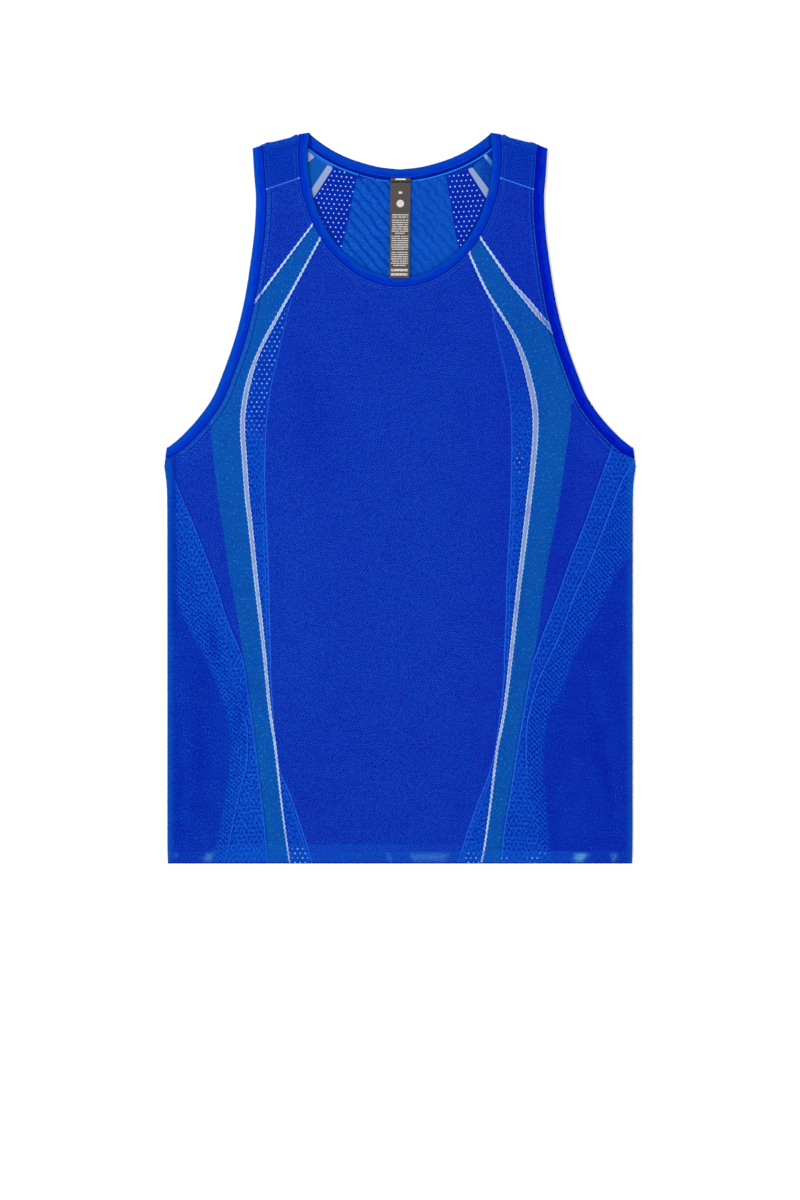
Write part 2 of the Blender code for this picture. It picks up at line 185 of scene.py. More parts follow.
def near_line(points: Array, line: Array) -> tuple[Array, Array]:
    """Finds the nearest place on a line.

    Args:
        points: rows of x, y.
        line: the line's points.
    Returns:
        Each point's distance to the line, and how far along the line its nearest place is.
    """
    starts, runs = line[:-1], np.diff(line, axis=0)
    sizes = np.linalg.norm(runs, axis=1)
    before = np.concatenate([[0.0], np.cumsum(sizes)[:-1]])
    gaps, places = [], []
    for block in np.array_split(points, len(points) // 2000 + 1):
        offset = block[:, None] - starts[None]
        share = np.clip((offset * runs).sum(2) / np.maximum(sizes ** 2, 1e-12), 0, 1)
        gap = np.linalg.norm(offset - share[..., None] * runs, axis=2)
        best = gap.argmin(1)
        rows = np.arange(len(block))
        gaps.append(gap[rows, best])
        places.append(before[best] + share[rows, best] * sizes[best])
    return np.concatenate(gaps), np.concatenate(places)


def inside(points: Array, outline: Array) -> Array:
    """Whether each point lies inside the closed outline."""
    ends = np.roll(outline, -1, axis=0)
    result = np.zeros(len(points), bool)
    for start, end in zip(outline, ends):
        if start[1] != end[1]:
            crosses = (start[1] > points[:, 1]) != (end[1] > points[:, 1])
            x = start[0] + (end[0] - start[0]) * (points[:, 1] - start[1]) / (end[1] - start[1])
            result ^= crosses & (points[:, 0] < x)
    return result


def depth(points: Array, corners: Outline) -> Array:
    """How far each point is inside the outline, below zero outside it."""
    outline = np.array(corners, float)
    gap, _ = near_line(points, np.vstack([outline, outline[:1]]))
    return np.where(inside(points, outline), gap, -gap)


def area_of(outline: Array) -> float:
    """The area that a closed outline holds."""
    x, y = outline.T
    return abs(float(np.sum(x * np.roll(y, -1) - y * np.roll(x, -1)))) / 2


def gaps_to(points: Array, centres: Array) -> Array:
    """Each point's distance to the nearest centre."""
    return np.concatenate([np.linalg.norm(block[:, None] - centres[None], axis=2).min(1)
                           for block in np.array_split(points, len(points) // 500 + 1)])


def flat_size(outline: Array) -> Pair:
    """The width and the length of a flat piece."""
    return 2 * float(outline[:, 0].max()), float(np.ptp(outline[:, 1]))


def eased(share: Array) -> Array:
    """0 to 1 with level ends."""
    share = np.clip(share, 0.0, 1.0)
    return share * share * (3 - 2 * share)


def soft_sum(points: Array, strokes: Strokes) -> Array:
    """Adds up soft marks along straight lines: the heights of creases or the strengths of painted shade
    and light.

    Args:
        points: rows of x, y.
        strokes: each one's x and y at its start and at its end, its half width and its amount.
    Returns:
        The amounts at each point, which fade sideways and lengthwise.
    """
    total = np.zeros(len(points))
    for x0, y0, x1, y1, half_width, amount in strokes:
        start = np.array([x0, y0])
        run = np.array([x1, y1]) - start
        share = (points - start) @ run / (run @ run)
        aside = np.linalg.norm(points - start - np.clip(share, 0, 1)[:, None] * run, axis=1)
        aside = aside / half_width
        within = (aside < 1) & (share > 0) & (share < 1)
        bump = (1 - aside ** 2) ** 2 * np.sin(np.pi * np.clip(share, 0, 1))
        total += np.where(within, amount * bump, 0.0)
    return total


def outward(points: Array, left: Marks, right: Marks) -> Array:
    """How far points lie outside a line of the knit, square to it.

    Args:
        points: rows of x, y.
        left, right: the line on each half.
    Returns:
        The distance of each point from the line on its own half.
    """
    result = np.zeros(len(points))
    for side, marks in ((Side.LEFT, left), (Side.RIGHT, right)):
        line = smooth_line(marks, LINE_STEP)
        line = line[np.argsort(line[:, 1])]
        slope = np.gradient(line[:, 0], line[:, 1])
        own = points[:, 0] * side.value > 0
        x = np.interp(points[:, 1], line[:, 1], line[:, 0])
        lean = np.interp(points[:, 1], line[:, 1], slope)
        gap = (points[:, 0] * side.value - x) / np.sqrt(1 + lean ** 2)
        result = np.where(own, gap, result)
    return result


# ---- the garment's cut


@dataclass(frozen=True)
class Cut:
    """The flat cut: free edges, folds and seams of the half at +x, and the layers' heights."""

    cloth: float = 0.62
    back_mid: float = 0.42
    front_mid: float = 2.1
    binding_low: float = 0.7
    binding_high: float = 2.4
    binding_half: float = 0.62
    front_hem: float = -365.4
    back_hem: float = -353.0
    hem_drop: float = 9.0
    arm_width: float = 10.5
    neck_front_width: float = 9.6
    neck_back_width: float = 11.6
    tuck: float = 1.3                   # how far the cloth goes into a binding
    step: float = 4.0
    armhole: Outline = (
        (147.2, 348), (145.6, 322), (144, 300), (145.2, 270), (149, 238), (155.4, 198), (165.3, 158),
        (179.5, 118), (188.5, 98), (203, 78), (219, 61), (231.6, 50.6))
    neck_front: Outline = (
        (90.1, 363.9), (92, 350), (91.8, 334), (89, 310), (84.6, 295), (79.8, 281), (70.8, 264.5),
        (59.8, 250), (37.5, 231.5), (17, 222.8), (0, 220.3))
    neck_back: Outline = (
        (90.1, 363.9), (83.4, 358.3), (72, 350.3), (60, 343.7), (44.5, 337.3), (22, 331.1), (0, 328.5))
    side: Outline = (
        (230.8, -365.4), (231.4, -340), (231.4, -230), (231.5, -60), (231.7, 0), (232.6, 18), (234.2, 28),
        (234.5, 34), (233.6, 39.2))
    arm_fold: Fold = Fold(Spot(147.2, 348), Spot(137.7, 351.5))
    yoke_fold: Fold = Fold(Spot(136.7, 352.6), Spot(103.7, 360.7))
    neck_fold: Fold = Fold(Spot(90.1, 363.9), Spot(101.3, 362.3))
    underarm_fold: Fold = Fold(Spot(231.6, 50.6), Spot(233.4, 39.4))
    shoulder_seam: Fold = Fold(Spot(134.5, 308.3), Spot(99.5, 320.2))

    @property
    def turn(self) -> float:
        """Radius of the cloth's middle where it turns from front to back."""
        return (self.front_mid - self.back_mid) / 2

    @property
    def side_top(self) -> float:
        """Where the side fold ends, under the arm."""
        return self.side[-1][1]

    def side_x(self, y: Array) -> Array:
        """Where the side fold is at these heights of the garment."""
        line = smooth_line(self.side, self.step)
        return np.interp(y, line[:, 1], line[:, 0])

    def side_rows(self, hem_y: float, angles: Sequence[float]) -> list[Array]:
        """The cloth's points that end up round the side fold.

        Args:
            hem_y: where the panel's hem is.
            angles: how far round, in degrees.
        Returns:
            A row of points for each angle, from the hem up.
        """
        levels = np.linspace(hem_y, self.side_top - 0.1,
                             round((self.side_top - hem_y) / self.step / 2) + 1)
        return [np.column_stack([self.side_x(levels) + self.turn * math.radians(angle), levels])
                for angle in angles]

    def arm_edge(self) -> Array:
        """The panels' edge inside the armhole binding, from the shoulder to the underarm."""
        edge = shifted(smooth_line(self.armhole, self.step), self.arm_width - self.tuck)
        start = on_fold(self.yoke_fold, self.arm_fold.inner.x + self.tuck)
        return np.vstack([start, edge[1:-2]])

    def past_arm_band(self, points: Array) -> Array:
        """How far each flat point of the front lies past an armhole binding's sewn edge."""
        edge = self.arm_edge()
        gaps = [near_line(points, line)[0] for line in (edge, mirrored(edge))]
        return np.minimum(*gaps) - self.tuck

    def neck_edge(self, free_edge: Outline, width: float) -> Array:
        """The panels' edge inside the neck binding, from the shoulder to the centre."""
        edge = shifted(smooth_line(free_edge, self.step), self.tuck - width)
        edge[-1, 0] = 0.0
        start = on_fold(self.yoke_fold, self.neck_fold.inner.x - self.tuck)
        return np.vstack([start, edge[2:]])


def axis_of(fold: Fold) -> tuple[Array, Array, Array]:
    """A point on the fold, its direction and its normal away from the body."""
    start = np.array(fold.outer, float)
    along = np.array(fold.inner, float) - start
    along /= np.linalg.norm(along)
    away = np.array([-along[1], along[0]])
    return start, along, away if away @ start > 0 else -away


def on_fold(fold: Fold, x: float) -> Array:
    """The point of the fold's line at this x."""
    start, along, _ = axis_of(fold)
    return start + along * ((x - start[0]) / along[0])


def split(line: Array, fold: Fold) -> tuple[Array, Array]:
    """The line before and after it crosses the fold's line."""
    start, _, away = axis_of(fold)
    heights = (line - start) @ away
    number = int(np.nonzero((heights[:-1] > 0) != (heights[1:] > 0))[0][0])
    share = heights[number] / (heights[number] - heights[number + 1])
    crossing = line[number] + (line[number + 1] - line[number]) * share
    far = np.linalg.norm(line - crossing, axis=1) > 1.2
    head, tail = line[:number + 1][far[:number + 1]], line[number + 1:][far[number + 1:]]
    return np.vstack([head, crossing]), np.vstack([crossing, tail])


# ---- meshes


def link_mesh(name: str, verts: Array, faces: Sequence, smooth_below: float = 40.0) -> Piece:
    """Makes a closed, outward-facing piece.

    Args:
        name: the piece's name.
        verts: rows of x, y, z in millimetres.
        faces: rows of vertex numbers.
        smooth_below: edges that bend less than this many degrees are shaded smooth.
    Returns:
        The piece, linked to the scene.
    """
    mesh = bpy.data.meshes.new(name)
    mesh.from_pydata((np.asarray(verts) * MM).tolist(), [], [list(face) for face in faces])
    bm = bmesh.new()
    bm.from_mesh(mesh)
    bmesh.ops.recalc_face_normals(bm, faces=bm.faces)
    bm.to_mesh(mesh)
    bm.free()
    mesh.shade_smooth()
    mesh.set_sharp_from_angle(angle=math.radians(smooth_below))
    piece = bpy.data.objects.new(name, mesh)
    bpy.context.scene.collection.objects.link(piece)
    return piece


def note(piece: Piece, name: str, values: Array) -> None:
    """Keeps a number for each vertex of the piece, for its finish to read."""
    layer = piece.data.attributes.new(name, "FLOAT", "POINT")
    layer.data.foreach_set("value", np.asarray(values, np.float32))


class Patch(NamedTuple):
    """An area of the cut whose mesh has points this far apart."""

    x0: float
    y0: float
    x1: float
    y1: float
    spacing: float


@dataclass
class Shell:
    """A cloth's two faces over its flat cut, joined round the rim and round every eyelet."""

    outline: Array
    lines: list[Array]
    patches: Sequence[Patch]
    eyelets: Array = field(default_factory=lambda: np.zeros((0, 2)))
    eyelet_radius: float = 0.9
    eyelet_sides: int = 8
    collar: float = 0.5                 # width of the ring of triangles round an eyelet
    collar_gap: float = 0.5             # from a collar to the grid's points
    clearance: float = 0.45             # from a line to the grid's points, in grid spacings
    hole_share: float = 0.87            # of an eyelet's radius, within which triangles are left out

    def ring(self, radius: float, turn: float = 0.0) -> Array:
        """The corners of a small ring about the origin."""
        turns = (np.arange(self.eyelet_sides) + turn) * 2 * np.pi / self.eyelet_sides
        return np.column_stack([np.cos(turns), np.sin(turns)]) * radius

    def rims(self) -> list[Array]:
        """The outline and each eyelet's edge, as closed loops."""
        ring = self.ring(self.eyelet_radius)
        return [self.outline] + [eyelet + ring for eyelet in self.eyelets]

    def grid(self) -> Array:
        """Staggered points inside the outline, clear of its edge, the lines and the eyelets."""
        found = []
        barrier = [np.vstack([self.outline, self.outline[:1]])] + self.lines
        for number, patch in enumerate(self.patches):
            rows = np.arange(patch.y0, patch.y1, patch.spacing * math.sqrt(3) / 2)
            points = np.array([(x, y) for row, y in enumerate(rows)
                               for x in np.arange(patch.x0 + patch.spacing * (row % 2) / 2,
                                                  patch.x1, patch.spacing)])
            for finer in self.patches[:number]:
                points = points[(points[:, 0] < finer.x0) | (points[:, 0] > finer.x1)
                                | (points[:, 1] < finer.y0) | (points[:, 1] > finer.y1)]
            points = points[inside(points, self.outline)]
            for line in barrier:
                points = points[near_line(points, line)[0] > patch.spacing * self.clearance]
            if len(self.eyelets):
                clear = self.eyelet_radius + self.collar + self.collar_gap
                points = points[gaps_to(points, self.eyelets) > clear]
            found.append(points)
        collar = self.ring(self.eyelet_radius + self.collar, 0.5)
        found += [eyelet + collar for eyelet in self.eyelets]
        return np.vstack(found)

    def face(self) -> tuple[Array, list, list[list[int]]]:
        """One face of the cloth, lying flat.

        Returns:
            Its points, its triangles and the point numbers of each rim.
        """
        rims = self.rims()
        points: list = []
        edges: list = []
        for rim in rims:
            first = len(points)
            points += rim.tolist()
            edges += [(first + k, first + (k + 1) % len(rim)) for k in range(len(rim))]
        rim_count = len(points)
        known = {(round(x, 3), round(y, 3)): number for number, (x, y) in enumerate(points)}
        for line in self.lines:
            marks = []
            for x, y in line.tolist():
                key = (round(x, 3), round(y, 3))
                if key not in known:
                    known[key] = len(points)
                    points.append([x, y])
                marks.append(known[key])
            edges += list(zip(marks, marks[1:]))
        points += self.grid().tolist()
        flat, _, faces, sources, _, _ = delaunay_2d_cdt(
            [Vector(point) for point in points], edges, [], 1, 1e-5)
        flat = np.array([tuple(point) for point in flat])
        faces = np.array([tuple(face) for face in faces])
        if len(self.eyelets):
            gaps = gaps_to(flat[faces].mean(1), self.eyelets)
            faces = faces[gaps > self.eyelet_radius * self.hole_share]
        place = [0] * rim_count
        for number, origins in enumerate(sources):
            for origin in origins:
                if origin < rim_count:
                    place[origin] = number
        loops, first = [], 0
        for rim in rims:
            loops.append(place[first:first + len(rim)])
            first += len(rim)
        return flat, faces.tolist(), loops

    def build(self, name: str, place: Place, thickness: float) -> tuple[Piece, Array]:
        """Makes the cloth.

        Args:
            name: the piece's name.
            place: gives the points of a face from the flat points and the height above the middle.
            thickness: of the cloth.
        Returns:
            The piece, and the flat place of each of its vertices.
        """
        flat, faces, loops = self.face()
        count = len(flat)
        verts = np.vstack([place(flat, thickness / 2), place(flat, -thickness / 2)])
        faces = faces + [[number + count for number in reversed(face)] for face in faces]
        for loop in loops:
            for here, after in zip(loop, loop[1:] + loop[:1]):
                faces.append([here, after, after + count, here + count])
        piece = link_mesh(name, verts, faces)
        return piece, np.vstack([flat, flat])


# ---- nodes


class Graph:
    """A material's node tree, with short calls for what the finishes work out."""

    def __init__(self, name: str) -> None:
        """Starts a material with a plain shader."""
        self.material = bpy.data.materials.new(name)
        self.material.use_nodes = True
        self.nodes = self.material.node_tree.nodes
        self.links = self.material.node_tree.links
        self.shader = self.nodes["Principled BSDF"]

    def feed(self, socket: bpy.types.NodeSocket, value: Value) -> None:
        """Gives a socket a value or links a field to it."""
        if isinstance(value, Field):
            self.links.new(value.socket, socket)
        else:
            socket.default_value = value

    def step(self, kind: str, inputs: dict[Union[int, str], Value],
             output: Union[int, str] = 0, **settings: Union[str, bool]) -> "Field":
        """Adds one node.

        Args:
            kind: the last part of its type's name.
            inputs: a value or a field for each input, by its number or name.
            output: the output that counts.
            settings: the node's own settings.
        Returns:
            What the output gives.
        """
        made = self.nodes.new("ShaderNode" + kind)
        for name, value in settings.items():
            setattr(made, name, value)
        for name, value in inputs.items():
            self.feed(made.inputs[name], value)
        return Field(self, made.outputs[output])

    def math(self, operation: str, *values: Value) -> "Field":
        """One step of arithmetic."""
        return self.step("Math", dict(enumerate(values)), operation=operation)

    def noted(self, name: str) -> "Field":
        """A number that the piece keeps for each vertex."""
        return self.step("Attribute", {}, "Fac", attribute_name=name)

    def place(self) -> tuple["Field", "Field", "Field"]:
        """Where the surface is, in millimetres."""
        place = self.step("TexCoord", {}, "Object")
        parts = self.step("SeparateXYZ", {0: place}).socket.node
        return tuple(Field(self, socket) / MM for socket in parts.outputs)

    def noise(self, x: "Field", y: "Field", size: float, detail: float = 2.0) -> "Field":
        """Even noise between 0 and 1 whose lumps have this size."""
        place = self.step("CombineXYZ", {0: x / size, 1: y / size})
        return self.step("TexNoise", {"Vector": place, "Scale": 1.0, "Detail": detail}, "Fac")

    def blend(self, share: Value, under: Value, over: Value) -> "Field":
        """The under colour, covered by the over colour where the share is 1."""
        return self.step("Mix", {0: share, 6: under, 7: over}, 2, data_type="RGBA",
                         clamp_factor=True)

    def scaled(self, colour: "Field", strength: "Field") -> "Field":
        """The colour made lighter or darker."""
        return self.step("VectorMath", {0: colour, "Scale": strength}, operation="SCALE")

    def toned(self, colour: "Field", fold_light: "Field") -> "Field":
        """The colour with the painted light and shade of soft folds: its green changes most and its blue
        least.
        """
        shares = enumerate((0.8, 1.0, 0.2))
        light = self.step("CombineXYZ", {number: fold_light * share + 1.0 for number, share in shares})
        return self.step("VectorMath", {0: colour, 1: light}, operation="MULTIPLY")

    def knots(self, x: "Field", y: "Field", pitch: float, row: float,
              slant: Value = 0.0) -> "Field":
        """The nearest point of a staggered lattice.

        Args:
            x, y: the place on the cloth.
            pitch, row: the lattice's repeat across, and from row to row.
            slant: how much nearer a point counts along the falling diagonal.
        Returns:
            The distance to it.
        """
        gaps = []
        for part in (0.0, 0.5):
            across = self.math("WRAP", x + pitch * part, pitch / 2, -pitch / 2)
            up = self.math("WRAP", y + 2 * row * part, row, -row)
            gaps.append((across * across + up * up + across * up * slant).root())
        return self.math("MINIMUM", *gaps)

    def bump(self, height: "Field", distance: float) -> None:
        """Relief of the surface, with the height in millimetres times the distance."""
        relief = self.step("Bump", {"Strength": 1.0, "Distance": distance * MM, "Height": height})
        self.feed(self.shader.inputs["Normal"], relief)

    def cloth(self, colour: "Field", roughness: float, sheen: float = 0.0,
              sheen_tint: Colour = (1.0, 1.0, 1.0, 1.0)) -> bpy.types.Material:
        """Finishes the material as matt cloth.

        Args:
            colour: of the cloth.
            roughness: of its surface.
            sheen, sheen_tint: the strength and the colour of its nap's light.
        Returns:
            The material.
        """
        for name, value in (("Base Color", colour), ("Roughness", roughness),
                            ("Specular IOR Level", 0.0), ("Sheen Weight", sheen),
                            ("Sheen Roughness", 0.5), ("Sheen Tint", sheen_tint)):
            self.feed(self.shader.inputs[name], value)
        return self.material


class Field:
    """A number or colour at each point of a surface, worked out by a material's nodes."""

    def __init__(self, graph: Graph, socket: bpy.types.NodeSocket) -> None:
        """Wraps the socket that gives the value."""
        self.graph = graph
        self.socket = socket

    def __add__(self, other: Value) -> "Field":
        """The sum."""
        return self.graph.math("ADD", self, other)

    def __sub__(self, other: Value) -> "Field":
        """The difference."""
        return self.graph.math("SUBTRACT", self, other)

    def __rsub__(self, other: Value) -> "Field":
        """The difference from a number."""
        return self.graph.math("SUBTRACT", other, self)

    def __mul__(self, other: Value) -> "Field":
        """The product."""
        return self.graph.math("MULTIPLY", self, other)

    def __truediv__(self, other: Value) -> "Field":
        """The quotient."""
        return self.graph.math("DIVIDE", self, other)

    __radd__ = __add__
    __rmul__ = __mul__

    def root(self) -> "Field":
        """The square root."""
        return self.graph.math("SQRT", self)

    def size(self) -> "Field":
        """The value without its sign."""
        return self.graph.math("ABSOLUTE", self)

    def wave(self, length: float) -> "Field":
        """A wave between -1 and 1 of this length."""
        return self.graph.math("COSINE", self * (2 * math.pi / length))

    def rise(self, low: float, high: float) -> "Field":
        """A soft change: 0 at the first value and 1 at the second, also where it is the lower."""
        falls = float(low > high)
        inputs = {"Value": self, "From Min": min(low, high), "From Max": max(low, high),
                  "To Min": falls, "To Max": 1.0 - falls}
        return self.graph.step("MapRange", inputs, interpolation_type="SMOOTHSTEP")


# ---- finishes


@dataclass(frozen=True)
class KnitGauge:
    """Sizes of the knit's repeats."""

    twill_across: float = 3.15
    twill_up: float = 2.56
    mesh_pitch: float = 4.95
    mesh_row: float = 4.65
    dense_row: float = 2.4
    mesh_lean: float = 0.06
    dense_lean: float = 0.14
    strip_pitch: float = 5.1
    strip_row: float = 4.65
    strip_start: Spot = Spot(-143.2, 114.4)
    tooth: float = 2.2                  # height of the teeth along a band's edge
    tooth_depth: float = 0.36           # how far a tooth reaches, for each millimetre up
    edge: float = 0.3                   # half the width over which one knit turns to another


class Jacquard:
    """What all the front's knits read: the place, the noted lines and the noise they share."""

    def __init__(self, g: Graph, gauge: KnitGauge) -> None:
        """Reads the lines, with teeth along the edges of the bands.

        Args:
            g: the finish's nodes.
            gauge: the sizes of its repeats.
        """
        x, y, _ = g.place()
        self.g, self.x, self.y = g, x, y
        self.right = x.rise(-1.0, 1.0)
        self.cast = x.rise(30.0, 170.0) * 0.22
        self.grain = g.noise(x, y, 1.0, 1.0)
        self.speck = g.noise(x, y / 0.8, 0.75, 0.0)
        self.drift = g.noise(x, y, 26.0, 2.0)
        self.broken = g.noise(x, y, 2.6, 0.0).rise(0.2, 0.6) * 0.5 + 0.5
        teeth = (g.math("PINGPONG", y, gauge.tooth) - gauge.tooth / 2) * gauge.tooth_depth
        self.panel = g.noted("panel_line") + teeth * 0.3
        self.stripe = [g.noted(name) + teeth for name in ("stripe_in", "stripe_out")]
        self.short = [g.noted(name) + teeth for name in ("short_in", "short_out")]
        self.teal_out = g.noted("teal_out") + teeth * 0.6
        self.line_1, self.line_2 = g.noted("line_1"), g.noted("line_2")
        self.mesh_out = g.noted("mesh_out") + (self.speck - 0.5) * 7.0
        self.knot = g.knots(x - gauge.strip_start.x, y - gauge.strip_start.y,
                            gauge.strip_pitch, gauge.strip_row)


@dataclass(frozen=True)
class FrontKnit:
    """The front's jacquard: twill-faced centre, meshes, pale and teal bands, plain sides."""

    twill_dark: Colour = tint(0, 15, 142)
    twill_light: Colour = tint(20, 80, 213)
    plain: Colour = tint(4, 36, 162)
    plain_light: Colour = tint(14, 58, 184)
    plain_speck: Colour = tint(34, 86, 206)
    mesh_ground: Colour = tint(19, 92, 214)
    mesh_shade: Colour = tint(3, 46, 173)
    # painted shade seen through the openwork's gaps, painted shadow lines, and dark strokes of the strip
    dark_gap_and_shadow: Colour = tint(0, 20, 136)
    violet: Colour = tint(18, 26, 168)
    bluer: Colour = tint(12, 20, 179)
    fleck: Colour = tint(48, 62, 188)
    teal: Colour = tint(5, 68, 160)
    teal_light: Colour = tint(18, 96, 188)
    teal_speck: Colour = tint(44, 126, 208)
    pale_cool: Colour = tint(122, 157, 198)
    pale_warm: Colour = tint(142, 150, 208)
    pale_edge: Colour = tint(184, 216, 252)
    line: Colour = tint(44, 112, 240)
    seam_loop: Colour = tint(42, 110, 226)
    groove_shade: Colour = tint(0, 34, 140)
    eyelet: Colour = tint(138, 194, 255)
    sheer: Colour = tint(124, 212, 255)
    hem: Colour = tint(15, 95, 213)
    gauge: KnitGauge = KnitGauge()
    strip_top: Reach = Reach(210, 190)
    strip_faint: Reach = Reach(40, 130)
    mesh_even: Reach = Reach(-215, -290)
    side_seam: Reach = Reach(-150, -100)
    hem_top: Reach = Reach(-345.4, -347.6)
    hem_low: Reach = Reach(-352, -354.2)
    hem_edge: Reach = Reach(-363.6, -364.6)
    hem_ends: Reach = Reach(205, 165)
    hem_right: Reach = Reach(92, 56)
    hem_left: Reach = Reach(20, -6)
    sheen_tint: Colour = (0.05, 0.2, 1.0, 1.0)

    def material(self) -> bpy.types.Material:
        """Builds the finish.

        Returns:
            A material that reads the front's noted lines and shades.
        """
        g = Graph("front_jacquard_knit")
        knit = Jacquard(g, self.gauge)
        twill = self.twill(knit)
        colour = self.centre(knit, twill)
        colour = self.bands(knit, colour, twill)
        colour = self.sides(knit, colour)
        colour = self.mesh_lines(knit, colour)
        colour = self.side_seams(knit, colour)
        colour = self.sewn(knit, colour)
        colour = g.blend(knit.drift.rise(0.5, 0.75) * 0.1, colour, self.teal)
        colour = g.blend(knit.drift.rise(0.5, 0.25) * 0.14, colour, self.violet)
        colour = self.pale_eyelets(knit, self.hem_strip(knit, colour))
        streaks = g.noise(knit.x / 11.0, knit.y, 2.4, 3.0)
        level = (streaks - 0.5) * 0.24 + (knit.drift - 0.5) * 0.1
        # painted light and shade of the soft folds
        colour = g.toned(g.scaled(colour, level + 1.0), g.noted("fold_light"))
        g.bump(knit.speck * 0.6 + twill_share(g, knit.x, knit.y, self.gauge) * 0.3, 0.12)
        return g.cloth(colour, 0.85, 0.06, self.sheen_tint)

    def twill(self, knit: Jacquard) -> Field:
        """Fine diagonal ribs of light on dark stitches, with flecks, bluer to the right."""
        g, x, y = knit.g, knit.x, knit.y + (knit.drift - 0.5)
        uneven = (g.noise(x, y, 1.35, 0.0) - 0.5) * 1.9 + (g.noise(x, y, 5.0, 1.0) - 0.5) * 0.5
        share = twill_share(g, x, y, self.gauge) * 1.05 + (knit.speck - 0.5) * 0.6 + uneven + 0.34
        ribs = g.blend(share, self.twill_dark, self.twill_light)
        flecks = g.noise(x, knit.y, 1.5, 0.0).rise(0.54, 0.68) * 0.45
        return g.blend(knit.cast, g.blend(flecks, ribs, self.fleck), self.bluer)

    def centre(self, knit: Jacquard, twill: Field) -> Field:
        """The twill centre and the narrow openwork strip beside it, with its two thin threads."""
        g, y, edge = knit.g, knit.y, self.gauge.edge
        low = y.rise(*self.strip_top)
        faint = y.rise(*self.strip_faint) * knit.right * 0.55
        colour = g.blend(knit.panel.rise(-edge, edge) * (low - faint), twill, self.strip(knit))
        thread = self.thin_line(knit.panel + 0.6, 0.42) * (y.rise(150.0, 40.0) * 0.3 + 0.5)
        thread = thread + self.thin_line(knit.panel - 2.6, 0.36) * y.rise(60.0, -20.0) * 0.4
        return g.blend(thread * knit.broken * low, colour, self.line)

    def bands(self, knit: Jacquard, colour: Field, twill: Field) -> Field:
        """The teal band between the two pale stripes, with twill past both its edges."""
        g, edge = knit.g, self.gauge.edge
        colour = g.blend(knit.stripe[1].rise(-edge, edge), colour, self.teal_band(knit))
        colour = g.blend(knit.short[1].rise(-edge, edge), colour, twill)
        warm = g.noise(knit.x, knit.y, 6.0, 1.0).rise(0.36, 0.64)
        pale = g.blend(warm, self.pale_cool, self.pale_warm)
        for inner, outer in (knit.stripe, knit.short):
            colour = self.lay_stripe(knit, colour, pale, inner, outer)
        return g.blend(knit.teal_out.rise(-edge, edge), colour, twill)

    def sides(self, knit: Jacquard, colour: Field) -> Field:
        """The two meshes past the teal band, and the plain knit past the meshes."""
        g, x, y, gauge = knit.g, knit.x, knit.y, self.gauge
        strokes = g.noise(x, y / 2.2, 1.15, 1.0).rise(0.36, 0.64)
        uneven = 1.0 - y.rise(*self.mesh_even) * 0.5
        jitter = (g.noise(x, y, 3.1, 0.0) - 0.5) * uneven * 1.3
        grain = (knit.grain - 0.5) * uneven + 0.5
        spread = 1.03 - knit.right * 0.11
        meshes = [self.openwork(g.knots((x + jitter) * size, (y - jitter + x.size() * lean) * size,
                                        gauge.mesh_pitch, row, slant), grain, strokes)
                  for lean, row, size, slant in (
                      (gauge.mesh_lean, gauge.mesh_row, 1.0, 0.0),
                      (gauge.dense_lean, gauge.dense_row, spread, knit.right * 0.35 + 0.55))]
        mesh = g.blend(knit.line_2.rise(-0.5, 0.5), *meshes)
        mesh = g.blend(knit.cast * 0.5, mesh, self.bluer)
        colour = g.blend(knit.line_1.rise(-gauge.edge, gauge.edge), colour, mesh)
        solid = g.blend(knit.cast, self.solid(knit), self.bluer)
        return g.blend(knit.mesh_out.rise(-1.5, 1.5), colour, solid)

    def mesh_lines(self, knit: Jacquard, colour: Field) -> Field:
        """The thin light lines along the meshes, each with a painted shadow line beside it."""
        g, y, right = knit.g, knit.y, knit.right
        strength = knit.broken * (right * 0.3 + 0.5)
        shown = (1.0 - right) * (y.rise(-190.0, -212.0) * 0.75 + 0.25)
        shown = (shown + right * y.rise(-285.0, -262.0)) * knit.mesh_out.rise(1.5, -1.5)
        for gap, cover in ((knit.line_1, 1.0), (knit.line_2, shown)):
            # painted shadow line beside the light line
            colour = g.blend(self.thin_line(gap + 1.3, 0.6) * cover * 0.45, colour, self.dark_gap_and_shadow)
            colour = g.blend(self.thin_line(gap - 0.2, 0.42) * cover * strength, colour, self.line)
        return colour

    def side_seams(self, knit: Jacquard, colour: Field) -> Field:
        """The plain left edge under the arm, and a painted sheen on the rim where the cloth turns down.
        """
        g = knit.g
        bare = (knit.x.size() - 224.0).rise(-3.0, 3.0) * knit.y.rise(*self.side_seam)
        colour = g.blend(bare * (1.0 - knit.right) * 0.8, colour, self.plain)
        return g.blend(g.noted("side_fold_sheen") * (knit.speck * 0.8 + 0.1), colour, self.teal_light)

    def teal_band(self, knit: Jacquard) -> Field:
        """The teal knit beside the stripe, mottled along its rows."""
        g, x, y = knit.g, knit.x, knit.y
        mottle = (g.noise(x / 1.6, y, 1.4, 1.0) - 0.5) * 1.3 + (knit.speck - 0.5) * 0.9 + 0.42
        band = g.blend(mottle, self.teal, self.teal_light)
        return g.blend(g.noise(x, y / 1.4, 1.7, 0.0).rise(0.66, 0.76) * 0.6, band, self.teal_speck)

    def solid(self, knit: Jacquard) -> Field:
        """The plain knit at the sides, with specks that gather in patches."""
        g = knit.g
        mottle = g.noise(knit.x, knit.y, 1.7, 2.0)
        patch = g.noise(knit.x, knit.y, 15.0, 1.0).rise(0.35, 0.65)
        share = (knit.speck - 0.5) + (mottle - 0.5) * 3.2 + (knit.drift - 0.5) * 0.3 + 0.46
        ground = g.blend(share, self.plain, self.plain_light)
        return g.blend(mottle.rise(0.54, 0.66) * patch * 0.5, ground, self.plain_speck)

